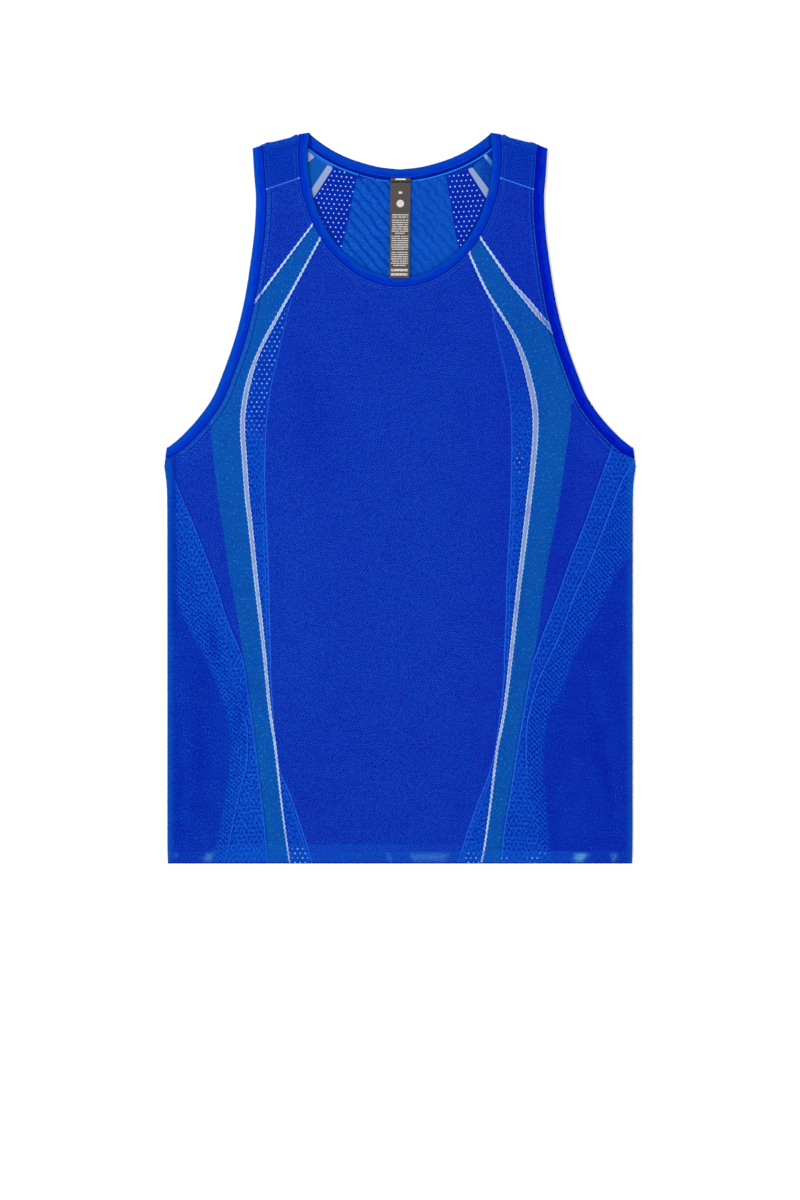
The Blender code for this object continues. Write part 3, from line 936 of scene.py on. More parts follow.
    def openwork(self, gap: Field, grain: Field, strokes: Field) -> Field:
        """Openwork with small gaps in rows, painted dark for the shade seen through them, on a bright
        ground of short upright strokes.
        """
        g = gap.graph
        dark = (gap + (grain - 0.5) * 2.0).rise(1.35, 0.45)
        ground = g.blend(strokes, self.mesh_shade, self.mesh_ground)
        return g.blend(dark * 0.95, ground, self.dark_gap_and_shadow)

    def strip(self, knit: Jacquard) -> Field:
        """The narrow openwork beside the centre: short upright strokes, and small gaps painted dark for
        the shade seen through them.
        """
        g = knit.g
        pale = g.noted("eyelets")
        fine = g.noise(knit.x, knit.y / 3.0, 0.9, 0.0)
        ground = g.blend(fine.rise(0.3, 0.72) * (1.0 - pale * 0.65), self.mesh_shade,
                         self.mesh_ground)
        dark = (knit.knot + (knit.grain - 0.5) * 2.4).rise(1.4, 0.5) * (1.0 - pale) * 0.55
        dark = g.math("MAXIMUM", dark, fine.rise(0.42, 0.26) * 0.75)
        return g.blend(dark * (1.0 - pale * 0.4), ground, self.dark_gap_and_shadow)

    def pale_eyelets(self, knit: Jacquard, colour: Field) -> Field:
        """Pale eyelets, some lost, at the strip's top and in the turned hem."""
        g = knit.g
        in_strip = knit.panel.rise(0.6, 1.4) * knit.stripe[0].rise(0.2, -0.6)
        lost = g.noise(knit.x, knit.y, 7.0, 0.0).rise(0.62, 0.4) * 0.6 + 0.4
        share = g.math("MAXIMUM", g.noted("eyelets") * in_strip * lost, g.noted("hem_dots"))
        return g.blend(knit.knot.rise(1.05, 0.5) * share, colour, self.eyelet)

    def sewn(self, knit: Jacquard, colour: Field) -> Field:
        """The sewing beside the armholes: light loops, painted shade in a groove and scattered light
        loops.
        """
        g, right = knit.g, knit.right
        gap = g.noted("past_arm_band")
        patchy = g.noise(knit.x, knit.y, 1.45, 1.0)
        loops = ((gap + right * 1.9 - 2.6).size() / (1.5 - right * 0.9)).rise(1.2, 0.7)
        groove = (gap + right * 2.3 - 4.8).size().rise(1.1, 0.4)
        rest = (gap + right * 2.2 - 6.5).size().rise(0.8, 0.3)
        # painted shade between the loops, in the groove and in short grooves across the stripe
        shade = g.math("MAXIMUM", loops * patchy.rise(0.5, 0.4) * 0.35, groove * 0.65)
        ties = gap.wave(2.7).rise(0.1, 0.8) * gap.rise(9.5, 7.5) * gap.rise(0.5, 1.0) * right
        on_stripe = g.noted("short_in").rise(-0.3, 0.3) * g.noted("short_out").rise(0.3, -0.3)
        shade = g.math("MAXIMUM", shade, ties * on_stripe * 0.8)
        colour = g.blend(shade * knit.grain.rise(0.25, 0.5), colour, self.groove_shade)
        loops = g.math("MAXIMUM", loops * patchy.rise(0.46, 0.58) * (right * 0.2 + 0.5),
                       rest * patchy.rise(0.54, 0.64) * 0.6)
        return g.blend(loops, colour, self.seam_loop)

    def hem_strip(self, knit: Jacquard, colour: Field) -> Field:
        """The lighter turned hem, deeper on the left, with sheer patches and a painted shadow along its
        edge.
        """
        g, x, y = knit.g, knit.x, knit.y
        within = x.size().rise(*self.hem_ends)
        deep = y.rise(*self.hem_top) * x.rise(*self.hem_right)
        deep = deep * (x.rise(*self.hem_left) * 0.3 + 0.35) * within
        hem = g.math("MAXIMUM", deep, y.rise(*self.hem_low) * (within * 0.6 + 0.35))
        colour = g.blend(hem * (knit.speck * 1.9 - 0.6), colour, self.hem)
        # painted shadow along the hem's edge
        colour = g.blend(y.rise(*self.hem_edge) * 0.8, colour, self.dark_gap_and_shadow)
        ribs = twill_share(g, x, y, self.gauge).rise(-0.7, 0.7) * 0.35 + 0.15
        ribs = ribs + g.noise(x, y, 1.35, 1.0).rise(0.48, 0.6) * 0.5
        return g.blend(g.noted("sheer") * ribs * 0.75, colour, self.sheer)

    def thin_line(self, gap: Field, half: float) -> Field:
        """The share of a thin line, from the distance to its middle."""
        return gap.size().rise(half + 0.3, half - 0.2)

    def lay_stripe(self, knit: Jacquard, under: Field, pale: Field, inner: Field,
                   outer: Field) -> Field:
        """A pale stripe with lighter edge stitches and a thin shadow, between two edges."""
        g, y, edge = knit.g, knit.y, self.gauge.edge
        under = g.blend(self.thin_line(inner + 0.7, 0.5) * 0.55, under, self.dark_gap_and_shadow)
        cover = inner.rise(-edge, edge) * outer.rise(edge, -edge)
        lit = g.noise(knit.x, y, 4.0, 0.0).rise(0.35, 0.6) * 0.6
        lit = lit + y.rise(150.0, 235.0) * 0.4 + 0.4
        rim = g.math("MAXIMUM", self.thin_line(inner - 0.55, 0.42),
                     self.thin_line(outer + 0.55, 0.42)) * lit
        return g.blend(cover, under, g.blend(rim, pale, self.pale_edge))


def twill_share(g: Graph, x: Field, y: Field, gauge: KnitGauge) -> Field:
    """The diagonal ribs as a value about -1 to 1."""
    down = (x / gauge.twill_across + y / gauge.twill_up).wave(1.0)
    up = (x / gauge.twill_across - y / gauge.twill_up).wave(1.0)
    return down * 0.64 + up * 0.36


@dataclass(frozen=True)
class BackKnit:
    """The back's jacquard: ridged centre, eyelet mesh, pale and teal bands; plain twill yoke."""

    ground: Colour = tint(11, 47, 178)
    ground_dark: Colour = tint(3, 32, 158)
    centre: Colour = tint(13, 80, 190)
    centre_light: Colour = tint(20, 104, 212)
    furrow_shade: Colour = tint(3, 46, 158)
    teal: Colour = tint(16, 88, 178)
    pale: Colour = tint(149, 167, 208)
    pale_end: Colour = tint(40, 118, 202)
    teal_shaded: Colour = tint(8, 58, 170)
    yoke_dark: Colour = tint(0, 22, 142)
    yoke_light: Colour = tint(18, 70, 203)
    eyelet_rim: Colour = tint(62, 148, 254)
    ridge: Pair = (0.0902, 0.0757)     # ridges per millimetre across and up
    by_fold: Reach = Reach(376, 384)
    fold_slope: float = 0.225
    sheen_tint: Colour = (0.05, 0.2, 1.0, 1.0)

    def material(self) -> bpy.types.Material:
        """Builds the finish.

        Returns:
            A material that reads the back's noted areas.
        """
        g = Graph("back_jacquard_knit")
        x, y, _ = g.place()
        speck = g.noise(x, y / 0.8, 0.8, 0.0)
        inner = g.noted("inner_face")
        ground = g.blend(speck.rise(0.25, 0.75), self.ground_dark, self.ground)
        colour = g.blend(inner, self.yoke(g, x, y), ground)
        colour = g.blend(g.noted("centre").rise(-0.5, 0.5) * inner, colour,
                         self.ridged(g, x, y, speck))
        colour = self.bands(g, colour, x, y)
        colour = g.blend(g.noted("eyelet_rim") * 0.85, colour, self.eyelet_rim)
        level = (speck - 0.5) * 0.25 + (g.noise(x, y, 22.0) - 0.5) * 0.3 + 1.0
        g.bump(speck, 0.1)
        return g.cloth(g.scaled(colour, level), 0.85, 0.06, self.sheen_tint)

    def yoke(self, g: Graph, x: Field, y: Field) -> Field:
        """The outer face's twill, broken into rows, and lighter by the shoulder folds."""
        lines = (y + g.noise(x, y, 5.0) * 3.0).wave(2.3) * 0.2
        lines = lines + twill_share(g, x, y, KnitGauge()) * 0.5
        mottle = (g.noise(x, y, 1.3, 1.0) - 0.5) * 2.2
        yoke = g.blend(lines + mottle + 0.45, self.yoke_dark, self.yoke_light)
        by_fold = (y + x.size() * self.fold_slope).rise(*self.by_fold) * 0.45
        return g.blend(by_fold * mottle.rise(-0.4, 0.4), yoke, self.centre_light)

    def ridged(self, g: Graph, x: Field, y: Field, speck: Field) -> Field:
        """The centre's wavering diagonal furrows, with painted shade in them, calmer on the right."""
        bend = (g.noise(x, y, 11.0, 1.0) - 0.5) * (x.rise(-5.0, 20.0) * 0.5 + 0.6)
        furrow = g.math("PINGPONG", x * self.ridge[0] + y * self.ridge[1] + bend, 0.5)
        chain = g.noise(x, y, 1.7, 1.0).rise(0.38, 0.52)
        calm = 1.0 - x.rise(4.0, 14.0) * 0.35
        # painted shade in the furrows
        dark = furrow.rise(0.24, 0.46) * (chain * 0.6 + 0.1) + furrow.rise(0.1, 0.5) * 0.15
        light = g.noise(x, y, 3.4, 2.0).rise(0.46, 0.66) * calm * 0.6
        ridged = g.blend(light, self.centre, self.centre_light)
        return g.blend(dark * calm + (speck - 0.5) * 0.3, ridged, self.furrow_shade)

    def bands(self, g: Graph, colour: Field, x: Field, y: Field) -> Field:
        """The teal and pale bands, shaded towards the right shoulder."""
        patches = g.noise(x, y, 5.0, 1.0).rise(0.3, 0.6) * 0.5 + 0.45
        teal = g.blend(x.rise(76.0, 84.0) * patches, self.teal, self.teal_shaded)
        colour = g.blend(g.noted("teal").rise(-0.3, 0.3), colour, teal)
        ends = x.rise(85.8, 88.2) * y.rise(325.0, 328.0) * 0.85
        pale = g.blend(ends, self.pale, self.pale_end)
        return g.blend(g.noted("pale").rise(-0.3, 0.3), colour, pale)


@dataclass(frozen=True)
class BindingFinish:
    """Smooth folded stretch binding, lighter towards its free edge, with painted shade along its edges,
    in a groove at the back and under the front's band.
    """

    name: str
    body: Colour
    free_edge: Colour
    edge_shade: Colour
    stitches: Colour = tint(44, 92, 232)

    def material(self) -> bpy.types.Material:
        """Builds the finish from the binding's noted place across it."""
        g = Graph(self.name)
        x, y, z = g.place()
        across = g.noted("across")
        grain = g.noise(x, y, 1.3, 2.0)
        soft = g.noise(x, y, 16.0, 1.0)
        colour = g.blend((across + (soft - 0.5) * 0.9).rise(0.62, 0.3), self.body, self.free_edge)
        # painted shade along the sewn edge and on the rim of the free edge
        colour = g.blend(across.rise(0.84, 0.97), colour, self.edge_shade)
        colour = g.blend(across.rise(0.07, 0.02) * 0.85, colour, self.edge_shade)
        # painted shade in a groove beside the back's stitches
        at_back = z.rise(2.0, 1.7)
        groove = across.rise(0.72, 0.79) * across.rise(1.0, 0.9) * at_back
        colour = g.blend(groove * 0.8, colour, self.edge_shade)
        faint = (across - 0.69).size().rise(0.05, 0.02) * grain.rise(0.4, 0.6) * at_back
        colour = g.blend(faint * 0.5, colour, self.stitches)
        colour = g.scaled(colour, (grain - 0.5) * 0.14 + (soft - 0.5) * 0.16 + 1.0)
        # painted shadow where the back's band runs under the front's band
        under_front = (x.size() - 89.6).size().rise(1.3, 0.3) * y.rise(349.0, 352.0)
        colour = g.blend(under_front * z.rise(2.2, 1.9) * 0.9, colour, self.edge_shade)
        g.bump(grain, 0.05)
        return g.cloth(colour, 0.62, 0.05, (0.1, 0.3, 1.0, 1.0))


@dataclass(frozen=True)
class ThreadFinish:
    """Sewing thread of one colour."""

    name: str
    colour: Colour

    def material(self) -> bpy.types.Material:
        """Builds the finish, slightly uneven from stitch to stitch."""
        g = Graph(self.name)
        x, y, _ = g.place()
        level = g.noise(x, y, 2.4, 1.0) * 0.5 + 0.75
        colour = g.scaled(g.blend(0.0, self.colour, self.colour), level)
        return g.cloth(colour, 0.6)


@dataclass(frozen=True)
class LabelFinish:
    """Woven satin strip with plain pale bars, a plain disc and a plain tab."""

    ground: Colour = tint(87, 81, 78)
    bar: Colour = tint(222, 216, 214)
    white: Colour = tint(252, 252, 252)
    fold: Colour = tint(34, 32, 38)
    pitch: float = 2.17
    first_row: float = 36.8
    last_row: float = 87.4
    gaps: tuple[Pair, ...] = ((40.2, 1.1), (56.4, 0.75), (72.4, 0.95))
    short_rows: tuple[Pair, ...] = ((55.3, 3.6), (87.4, 2.0))    # place, indent
    large_rows: float = 94.25                       # place of the middle between them
    fold_place: float = 4.0
    half_width: float = 10.0
    disc: Pair = (25.5, 3.7)         # place down the label, and radius
    tab: Pair = (14.6, 1.1)          # place down the label, and half height

    def material(self) -> bpy.types.Material:
        """Builds the finish from the label's noted place along it and distance to its sides."""
        g = Graph("woven_label")
        x, y, _ = g.place()
        down, side = g.noted("down"), g.noted("middle")
        colour = g.blend(self.bars(g, x, y, down, side), self.ground, self.bar)
        half = self.half_width - side
        disc = (half * half + (down - self.disc[0]) * (down - self.disc[0])).root()
        colour = g.blend(disc.rise(self.disc[1] + 0.2, self.disc[1] - 0.2), colour, self.bar)
        tab = (down - self.tab[0]).size().rise(self.tab[1] + 0.2, self.tab[1] - 0.2)
        colour = g.blend(tab * half.rise(1.9, 1.6), colour, self.bar)
        top_bar = down.rise(0.5, 0.8) * down.rise(1.9, 1.6) * side.rise(4.7, 5.1)
        colour = g.blend(top_bar, colour, self.white)
        dashes = g.noise(x, y / 9.0, 1.3, 0.0).rise(0.3, 0.45)
        at_fold = (down - self.fold_place).size().rise(0.95, 0.5)
        colour = g.blend(at_fold * dashes, colour, self.fold)
        colour = g.scaled(colour, (g.noise(x, y, 0.9, 2.0) - 0.5) * 0.24 + 1.0)
        g.bump(g.math("PINGPONG", y, 0.35), 0.1)
        return g.cloth(colour, 0.5, 0.05)

    def bars(self, g: Graph, x: Field, y: Field, down: Field, side: Field) -> Field:
        """The rows of plain pale bars, broken unevenly, and the two larger ones at the end."""
        lead = sum((down.rise(place, place + 0.3) * size for place, size in self.gaps), 0.0)
        row = (down - self.first_row - lead) / self.pitch
        number = g.math("ROUND", row)
        ragged = g.noise(number * 3.7, y * 0.0, 1.0, 0.0) * 1.5 + 0.8
        for place, indent in self.short_rows:
            ragged = ragged + (down - place).size().rise(1.1, 0.9) * indent
        breaks = g.noise(x / 1.5, number * 7.0, 1.0, 0.0).rise(0.34, 0.42)
        breaks = breaks * (g.noise(x, y, 0.6, 0.0).rise(0.3, 0.6) * 0.35 + 0.65)
        rows = row.wave(1.0).rise(-0.3, 0.5) * (side - ragged).rise(0.0, 0.4)
        rows = rows * down.rise(self.first_row - 1.1, self.first_row - 0.9)
        rows = rows * down.rise(self.last_row + 1.1, self.last_row + 0.9)
        large = ((down - self.large_rows).size() - 2.15).size().rise(1.4, 1.0)
        return g.math("MAXIMUM", rows, large * side.rise(1.4, 1.9)) * breaks


@dataclass(frozen=True)
class FloorFinish:
    """Plain pale floor."""

    colour: Colour = (0.9, 0.9, 0.9, 1.0)

    def material(self) -> bpy.types.Material:
        """Builds the finish."""
        g = Graph("pale_floor")
        x, y, _ = g.place()
        colour = g.scaled(g.blend(0.0, self.colour, self.colour),
                          g.noise(x, y, 900.0, 1.0) * 0.02 + 0.99)
        return g.cloth(colour, 0.9)


# ---- pieces


def dress(piece: Piece, material: bpy.types.Material, node: str = "") -> Piece:
    """Gives a piece its finish and its place in the record.

    Args:
        piece: the piece.
        material: its finish.
        node: the solid that it stands for, where there is one.
    Returns:
        The piece.
    """
    piece.data.materials.append(material)
    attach(piece, BODY)
    if node:
        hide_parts(node)
    LOG.info("%s: %d vertices, %d faces", piece.name, len(piece.data.vertices),
             len(piece.data.polygons))
    return piece


@dataclass
class FrontPanel:
    """The front: the largest piece, turned down at both sides as far as the side seams."""

    cut: Cut
    angles: tuple[float, ...] = (0.0, 25.0, 50.0, 70.0, 88.0)
    patch: Patch = Patch(-240, -364, 240, 330, 4)
    creases: Strokes = (
        (-213, -352, -214, -150, 20, 1.2), (-176, -355, -192, -190, 24, 0.8),
        (-142, -330, -166, -60, 30, 0.7), (176, -350, 160, -120, 26, 0.9),
        (212, -352, 208, -150, 20, 1.1), (-120, 250, -112, 120, 26, 0.9), (118, 255, 126, 110, 26, 0.8),
        (-70, -300, -40, 60, 60, 0.8), (60, -290, 50, 80, 55, 0.8), (-205, 20, -160, 70, 24, 0.8),
        (205, 20, 160, 70, 24, 0.8))
    edge_fade: float = 14.0             # the creases' way from nothing at the edge

    def outline(self) -> tuple[Array, list[Array]]:
        """The flat outline, and the lines of the side folds."""
        cut = self.cut
        rows = cut.side_rows(cut.front_hem, self.angles)
        _, arm = split(cut.arm_edge(), cut.shoulder_seam)
        _, neck = split(cut.neck_edge(cut.neck_front, cut.neck_front_width), cut.shoulder_seam)
        hem = even_line(np.array([(0.0, cut.front_hem), rows[0][0]]), cut.step)
        seam = even_line(np.array([arm[0], neck[0]]), cut.step)
        half = np.vstack([hem, [row[0] for row in rows[1:]], rows[-1][1:],
                          [row[-1] for row in rows[-2::-1]], arm[::-1], seam[1:-1], neck])
        lines = rows[:-1] + [mirrored(row) for row in rows[:-1]]
        return np.vstack([half, mirrored(half)[1:-1]]), lines

    def place(self, outline: Array) -> Place:
        """How the flat cloth lies: over the back, round the sides, down at the hem."""
        cut = self.cut

        def lay(flat: Array, lift: float) -> Array:
            """The places of flat points at a height above the cloth's middle."""
            x, y = np.abs(flat[:, 0]), flat[:, 1]
            edge, _ = near_line(flat, np.vstack([outline, outline[:1]]))
            rise = soft_sum(flat, self.creases) * eased(edge / self.edge_fade)
            drop = eased((cut.back_hem - 1 - y) / cut.hem_drop)
            middle = cut.front_mid + rise + (cut.back_mid - cut.front_mid) * drop
            fold_x = cut.side_x(y)
            turn = np.clip((x - fold_x) / cut.turn, 0, math.pi / 2)
            curl_x = np.minimum(x, fold_x) + (cut.turn + lift) * np.sin(turn)
            curl_z = middle - cut.turn + (cut.turn + lift) * np.cos(turn)
            out = curl_x * (1 - drop) + x * drop
            up = curl_z * (1 - drop) + (middle + lift) * drop
            return np.column_stack([np.copysign(out, flat[:, 0]), y, up])

        return lay

    def build(self) -> Piece:
        """Makes and dresses the front."""
        cut = self.cut
        outline, lines = self.outline()
        shell = Shell(outline, lines, [self.patch])
        piece, flat = shell.build("front_knit_shell", self.place(outline), cut.cloth)
        KnitLines().note_on(piece, flat)
        note(piece, "past_arm_band", cut.past_arm_band(flat))
        dress(piece, FrontKnit().material(), "front_panel")
        width, length = flat_size(outline)
        area_of(outline) * MM * MM
        return piece


@dataclass
class KnitLines:
    """The lines of the front's jacquard, from the shoulders to the hem, for each half."""

    panel_line: tuple[Marks, Marks] = (
        ((78, 259), (104, 208), (111.3, 191), (118, 162), (124, 136), (128.9, 115), (132.5, 92),
         (134.8, 66), (136, 20), (134.4, -22), (132, -86), (130.4, -150), (129.2, -192), (122.4, -265),
         (110, -298), (102, -322), (93, -349), (88.5, -366)),
        ((68, 244), (90, 198), (95.7, 171), (102, 144), (108.4, 112), (111.6, 86), (112.4, 54.5),
         (111.6, -2), (110, -38), (107.6, -78), (106.8, -117.5), (105, -157), (104.4, -182), (99.6, -225),
         (91.7, -270), (79.7, -302), (70, -329), (60.6, -359), (58.5, -366)))
    stripe: tuple[StripeMarks, StripeMarks] = (
        ((79, 261, 2.3), (107.6, 208, 2.6), (113.9, 197, 2.8), (121, 184, 3.3), (128.1, 171, 3.9),
         (134.9, 158.6, 3.8), (141, 146, 3.6), (146.2, 133, 4.1), (149.7, 122, 4.8), (153.6, 106.5, 5.2),
         (155.5, 95, 5.3), (157, 83.5, 5), (157.3, 72, 5), (157.1, 60.5, 5), (156.2, 49, 5.1),
         (154.8, 28, 5), (152.5, -2, 4.7), (150.1, -22, 4.7), (146, -62, 4.4), (142.6, -94, 4.1),
         (138.9, -125.5, 3.8), (135, -162, 3.4), (131.3, -202, 3), (128.2, -226, 2.8), (125.2, -245, 2.5),
         (122.4, -269, 2.2), (119.2, -299, 1.8), (115.3, -330, 1.7), (110.2, -366, 1.7)),
        ((69.2, 244.5, 2.3), (85.5, 209, 2.6), (103.9, 179, 3.2), (115.1, 159.7, 4.2),
         (124.3, 136.7, 5.5), (130.2, 113.8, 6), (133.5, 98.5, 6), (135.4, 81, 5.9), (135, 58, 5.6),
         (132, 23, 5.4), (129, -2, 5.3), (126.8, -22, 5.2), (122, -62, 4.8), (118.3, -92.6, 4.4),
         (114.3, -128, 4.2), (110.9, -159, 3.8), (107.3, -190, 3.2), (103.4, -219, 2.9),
         (97.4, -249, 2.7), (94.6, -270, 2.5), (91.5, -297, 2.2), (88.8, -318, 2), (85.2, -344, 1.9),
         (81.3, -366, 1.8)))
    short_stripe: tuple[StripeMarks, StripeMarks] = (
        ((86.6, 274.4, 2.2), (111, 242, 2.4), (136.2, 208, 2.7), (146.4, 194.6, 3.2), (160, 176, 3.4),
         (190, 136, 4), (225, 90, 4), (300, -10, 4)),
        ((79.7, 261, 2.4), (103.6, 226.5, 3.3), (112, 214.5, 4.1), (126.4, 198, 6.2), (138.7, 183, 6.8),
         (152, 168, 6), (180, 132, 5), (225, 78, 5), (300, -12, 5)))
    teal_out: tuple[Marks, Marks] = (
        ((235, 130), (191, 74), (189, 62.5), (185.4, 31), (181.4, -4), (176, -38), (171, -74.5),
         (165.5, -102), (161.5, -125.5), (157.5, -154), (154, -182), (148, -230), (143, -271),
         (138.4, -310), (135, -338), (133, -366)),
        ((215, 135), (173, 96), (171.4, 83), (166, 46.5), (161, 8), (156, -22), (148, -62), (142.7, -97),
         (138, -133.5), (132, -170), (129, -182), (123, -223.5), (117, -258.5), (111.6, -294),
         (105, -332), (102, -366)))
    line_1: tuple[Marks, Marks] = (
        ((232, 39), (222, 10), (208.5, -22), (192.5, -62), (182.2, -91), (173.7, -120), (158.4, -157.7),
         (153.5, -186), (147.2, -230), (142.2, -271), (137.6, -310), (132.2, -366)),
        ((212, 50), (200, 18), (185, -25), (170.4, -62), (155, -106), (145, -131), (135.7, -157),
         (131, -172), (122.2, -223.5), (116.2, -258.5), (110.8, -294), (104.2, -332), (101.2, -366)))
    line_2: tuple[Marks, Marks] = (
        ((245, 10), (226, -28), (213, -57), (202, -87), (195.2, -105), (187.5, -120), (180, -135),
         (170, -168), (161, -202), (153.2, -229), (152.6, -250), (153.6, -269), (157.6, -284),
         (162, -302), (169.5, -338), (175, -366)),
        ((234, 37), (221, 15), (205, -26), (190.8, -62), (173.5, -99.8), (160.2, -135.5), (144.9, -168),
         (137.4, -185), (131.6, -205), (127.4, -223), (125.8, -245), (126.6, -274), (130.8, -294),
         (135.6, -314), (140, -346), (143, -366)))
    mesh_out: tuple[Marks, Marks] = (
        ((250, -70), (226.5, -98), (217, -118), (206, -139), (195, -158), (181.4, -192), (172, -219),
         (169.4, -246), (170.3, -271), (174.8, -300), (180, -330), (184.6, -354), (187, -366)),
        ((255, -40), (229.6, -58.5), (213.6, -81), (198, -113), (183, -141), (172, -161), (162.6, -190),
         (150, -214), (144.2, -239), (143, -265), (145.3, -302), (148.4, -339), (152, -366)))
    # strokes of painted shade and highlight on soft folds and creases, with some broad lighter and darker
    # areas
    shades: Strokes = (
        (-110, 60, -102, -260, 48, 0.15), (104, 60, 92, -230, 22, -0.05),
        (-96, -180, -84, -372, 34, -0.06), (78, -200, 62, -372, 30, -0.05), (0, 190, 0, -330, 85, 0.06),
        (-100, 190, -105, 60, 30, -0.06), (-209, 12, -203, -142, 17, 0.05),
        (-184, -92, -170, -240, 14, 0.08), (-198, -122, -174, -180, 6, -0.20),
        (-150, -205, -152, -372, 34, 0.14), (-205, -150, -200, -366, 11, -0.19),
        (-223, -205, -221, -366, 5, -0.22), (-214, -180, -211, -366, 7, 0.08),
        (-187, -210, -182, -340, 8, 0.10), (215, 36, 166, -215, 30, 0.08),
        (122, -205, 120, -372, 26, 0.12), (180, -160, 212, -320, 5, -0.16),
        (191, -160, 222, -315, 5, 0.14), (198, -205, 216, -352, 5, -0.14),
        (206, -190, 226, -330, 4, 0.12), (168, -210, 186, -330, 8, 0.08), (178, 70, 160, -60, 9, -0.08),
        (222, 40, 226, -350, 7, 0.08), (-186, 62, -224, 26, 15, 0.20), (172, 64, 214, 28, 15, 0.24),
        (-178, 20, -166, -110, 12, -0.10), (166, 30, 146, -120, 14, -0.10),
        (-188, -108, -184, -174, 8, -0.24), (-196, -158, -192, -196, 9, -0.16),
        (-149, -176, -170, -252, 7, -0.30), (205, 60, 150, -220, 60, -0.05),
        (125, -200, 130, -372, 40, -0.08), (122, 250, 112, 60, 40, -0.08),
        (205, -60, 205, -372, 40, -0.05), (-88, 150, -78, -10, 34, -0.15), (-70, 158, 76, 158, 44, -0.07),
        (-95, -252, 76, -252, 56, -0.07), (150, 110, 152, -10, 18, 0.07),
        (172, -258, 186, -392, 34, 0.12), (-198, -306, -194, -378, 14, 0.12))
    eyelet_areas: Strokes = (
        (-102, 222, -147, 52, 28, 2), (-104.5, -345.5, -100, -378, 13, 2.4), (73, -352, 71, -376, 9, 2.8),
        (118.5, 52, 118.5, 22, 5.5, 1.3))
    hem_dots: Strokes = (
        (101, -360.5, 110, -360.5, 2.2, 2), (126, -362.5, 140, -359.5, 3, 2),
        (138, -356.5, 147, -353, 2.2, 2))
    sheer_patches: tuple[SheerPatch, ...] = (
        SheerPatch(0.3, ((-225, -354), (-222.5, -353.5), (-223, -362.5), (-226, -362.5))),
        SheerPatch(0.5, ((-199, -361.6), (-193, -355), (-186, -353.5), (-187.5, -362), (-196, -363.5))),
        SheerPatch(0.55, ((-12.5, -355), (-9.5, -355), (-9.5, -364), (-12, -364))),
        SheerPatch(0.32, ((8.3, -354.5), (50.2, -354.5), (44.8, -364), (12.5, -364))),
        SheerPatch(1.0, ((176, -354.6), (189.6, -354.6), (184, -363), (173, -363))),
        SheerPatch(0.45, ((211, -356), (219, -356), (217, -363), (211, -363))))
    # the painted sheen along the side folds lies past this x and below this y
    rim_out: float = 227.0
    rim_top: float = 45.0

    def note_on(self, piece: Piece, flat: Array) -> None:
        """Keeps each line's distance, each soft area and the painted fold light on the front's vertices.
        """
        for name in ("panel_line", "teal_out", "line_1", "line_2", "mesh_out"):
            note(piece, name, outward(flat, *getattr(self, name)))
        for name, halves in (("stripe", self.stripe), ("short", self.short_stripe)):
            for end, sign in (("in", -0.5), ("out", 0.5)):
                sides = [[(out + sign * width, y) for out, y, width in half] for half in halves]
                note(piece, f"{name}_{end}", outward(flat, *sides))
        note(piece, "fold_light", soft_sum(flat, self.shades))
        note(piece, "eyelets", np.clip(soft_sum(flat, self.eyelet_areas), 0, 1))
        note(piece, "hem_dots", np.clip(soft_sum(flat, self.hem_dots), 0, 1))
        note(piece, "sheer", np.max([
            eased((depth(flat, patch.corners) + 0.9) / 3.0) * patch.strength
            for patch in self.sheer_patches], axis=0))
        # painted sheen where the cloth turns down at the sides
        below = flat[:, 1] < self.rim_top
        note(piece, "side_fold_sheen", eased((np.abs(flat[:, 0]) - self.rim_out) / 2.0) * below)


class EyeletRows(NamedTuple):
    """A mesh's staggered rows on one half: they lean, widen and tilt from row to row."""

    side: Side
    start: Spot
    lean: float
    pitch: float
    widen: float
    drop: float
    bend: float
    tilt: float
    fan: float

    def centres(self) -> Array:
        """The rows' points on their own half."""
        found = []
        for row in range(-2, 28):
            aside = (self.pitch + self.widen * row) * np.arange(-16, 17)
            level = self.start.y - self.drop * row - self.bend * row * row
            found.append(np.column_stack([self.start.x + self.lean * row + aside,
                                          level + (self.tilt + self.fan * row) * aside]))
        points = np.vstack(found)
        return points[points[:, 0] * self.side.value > 0]


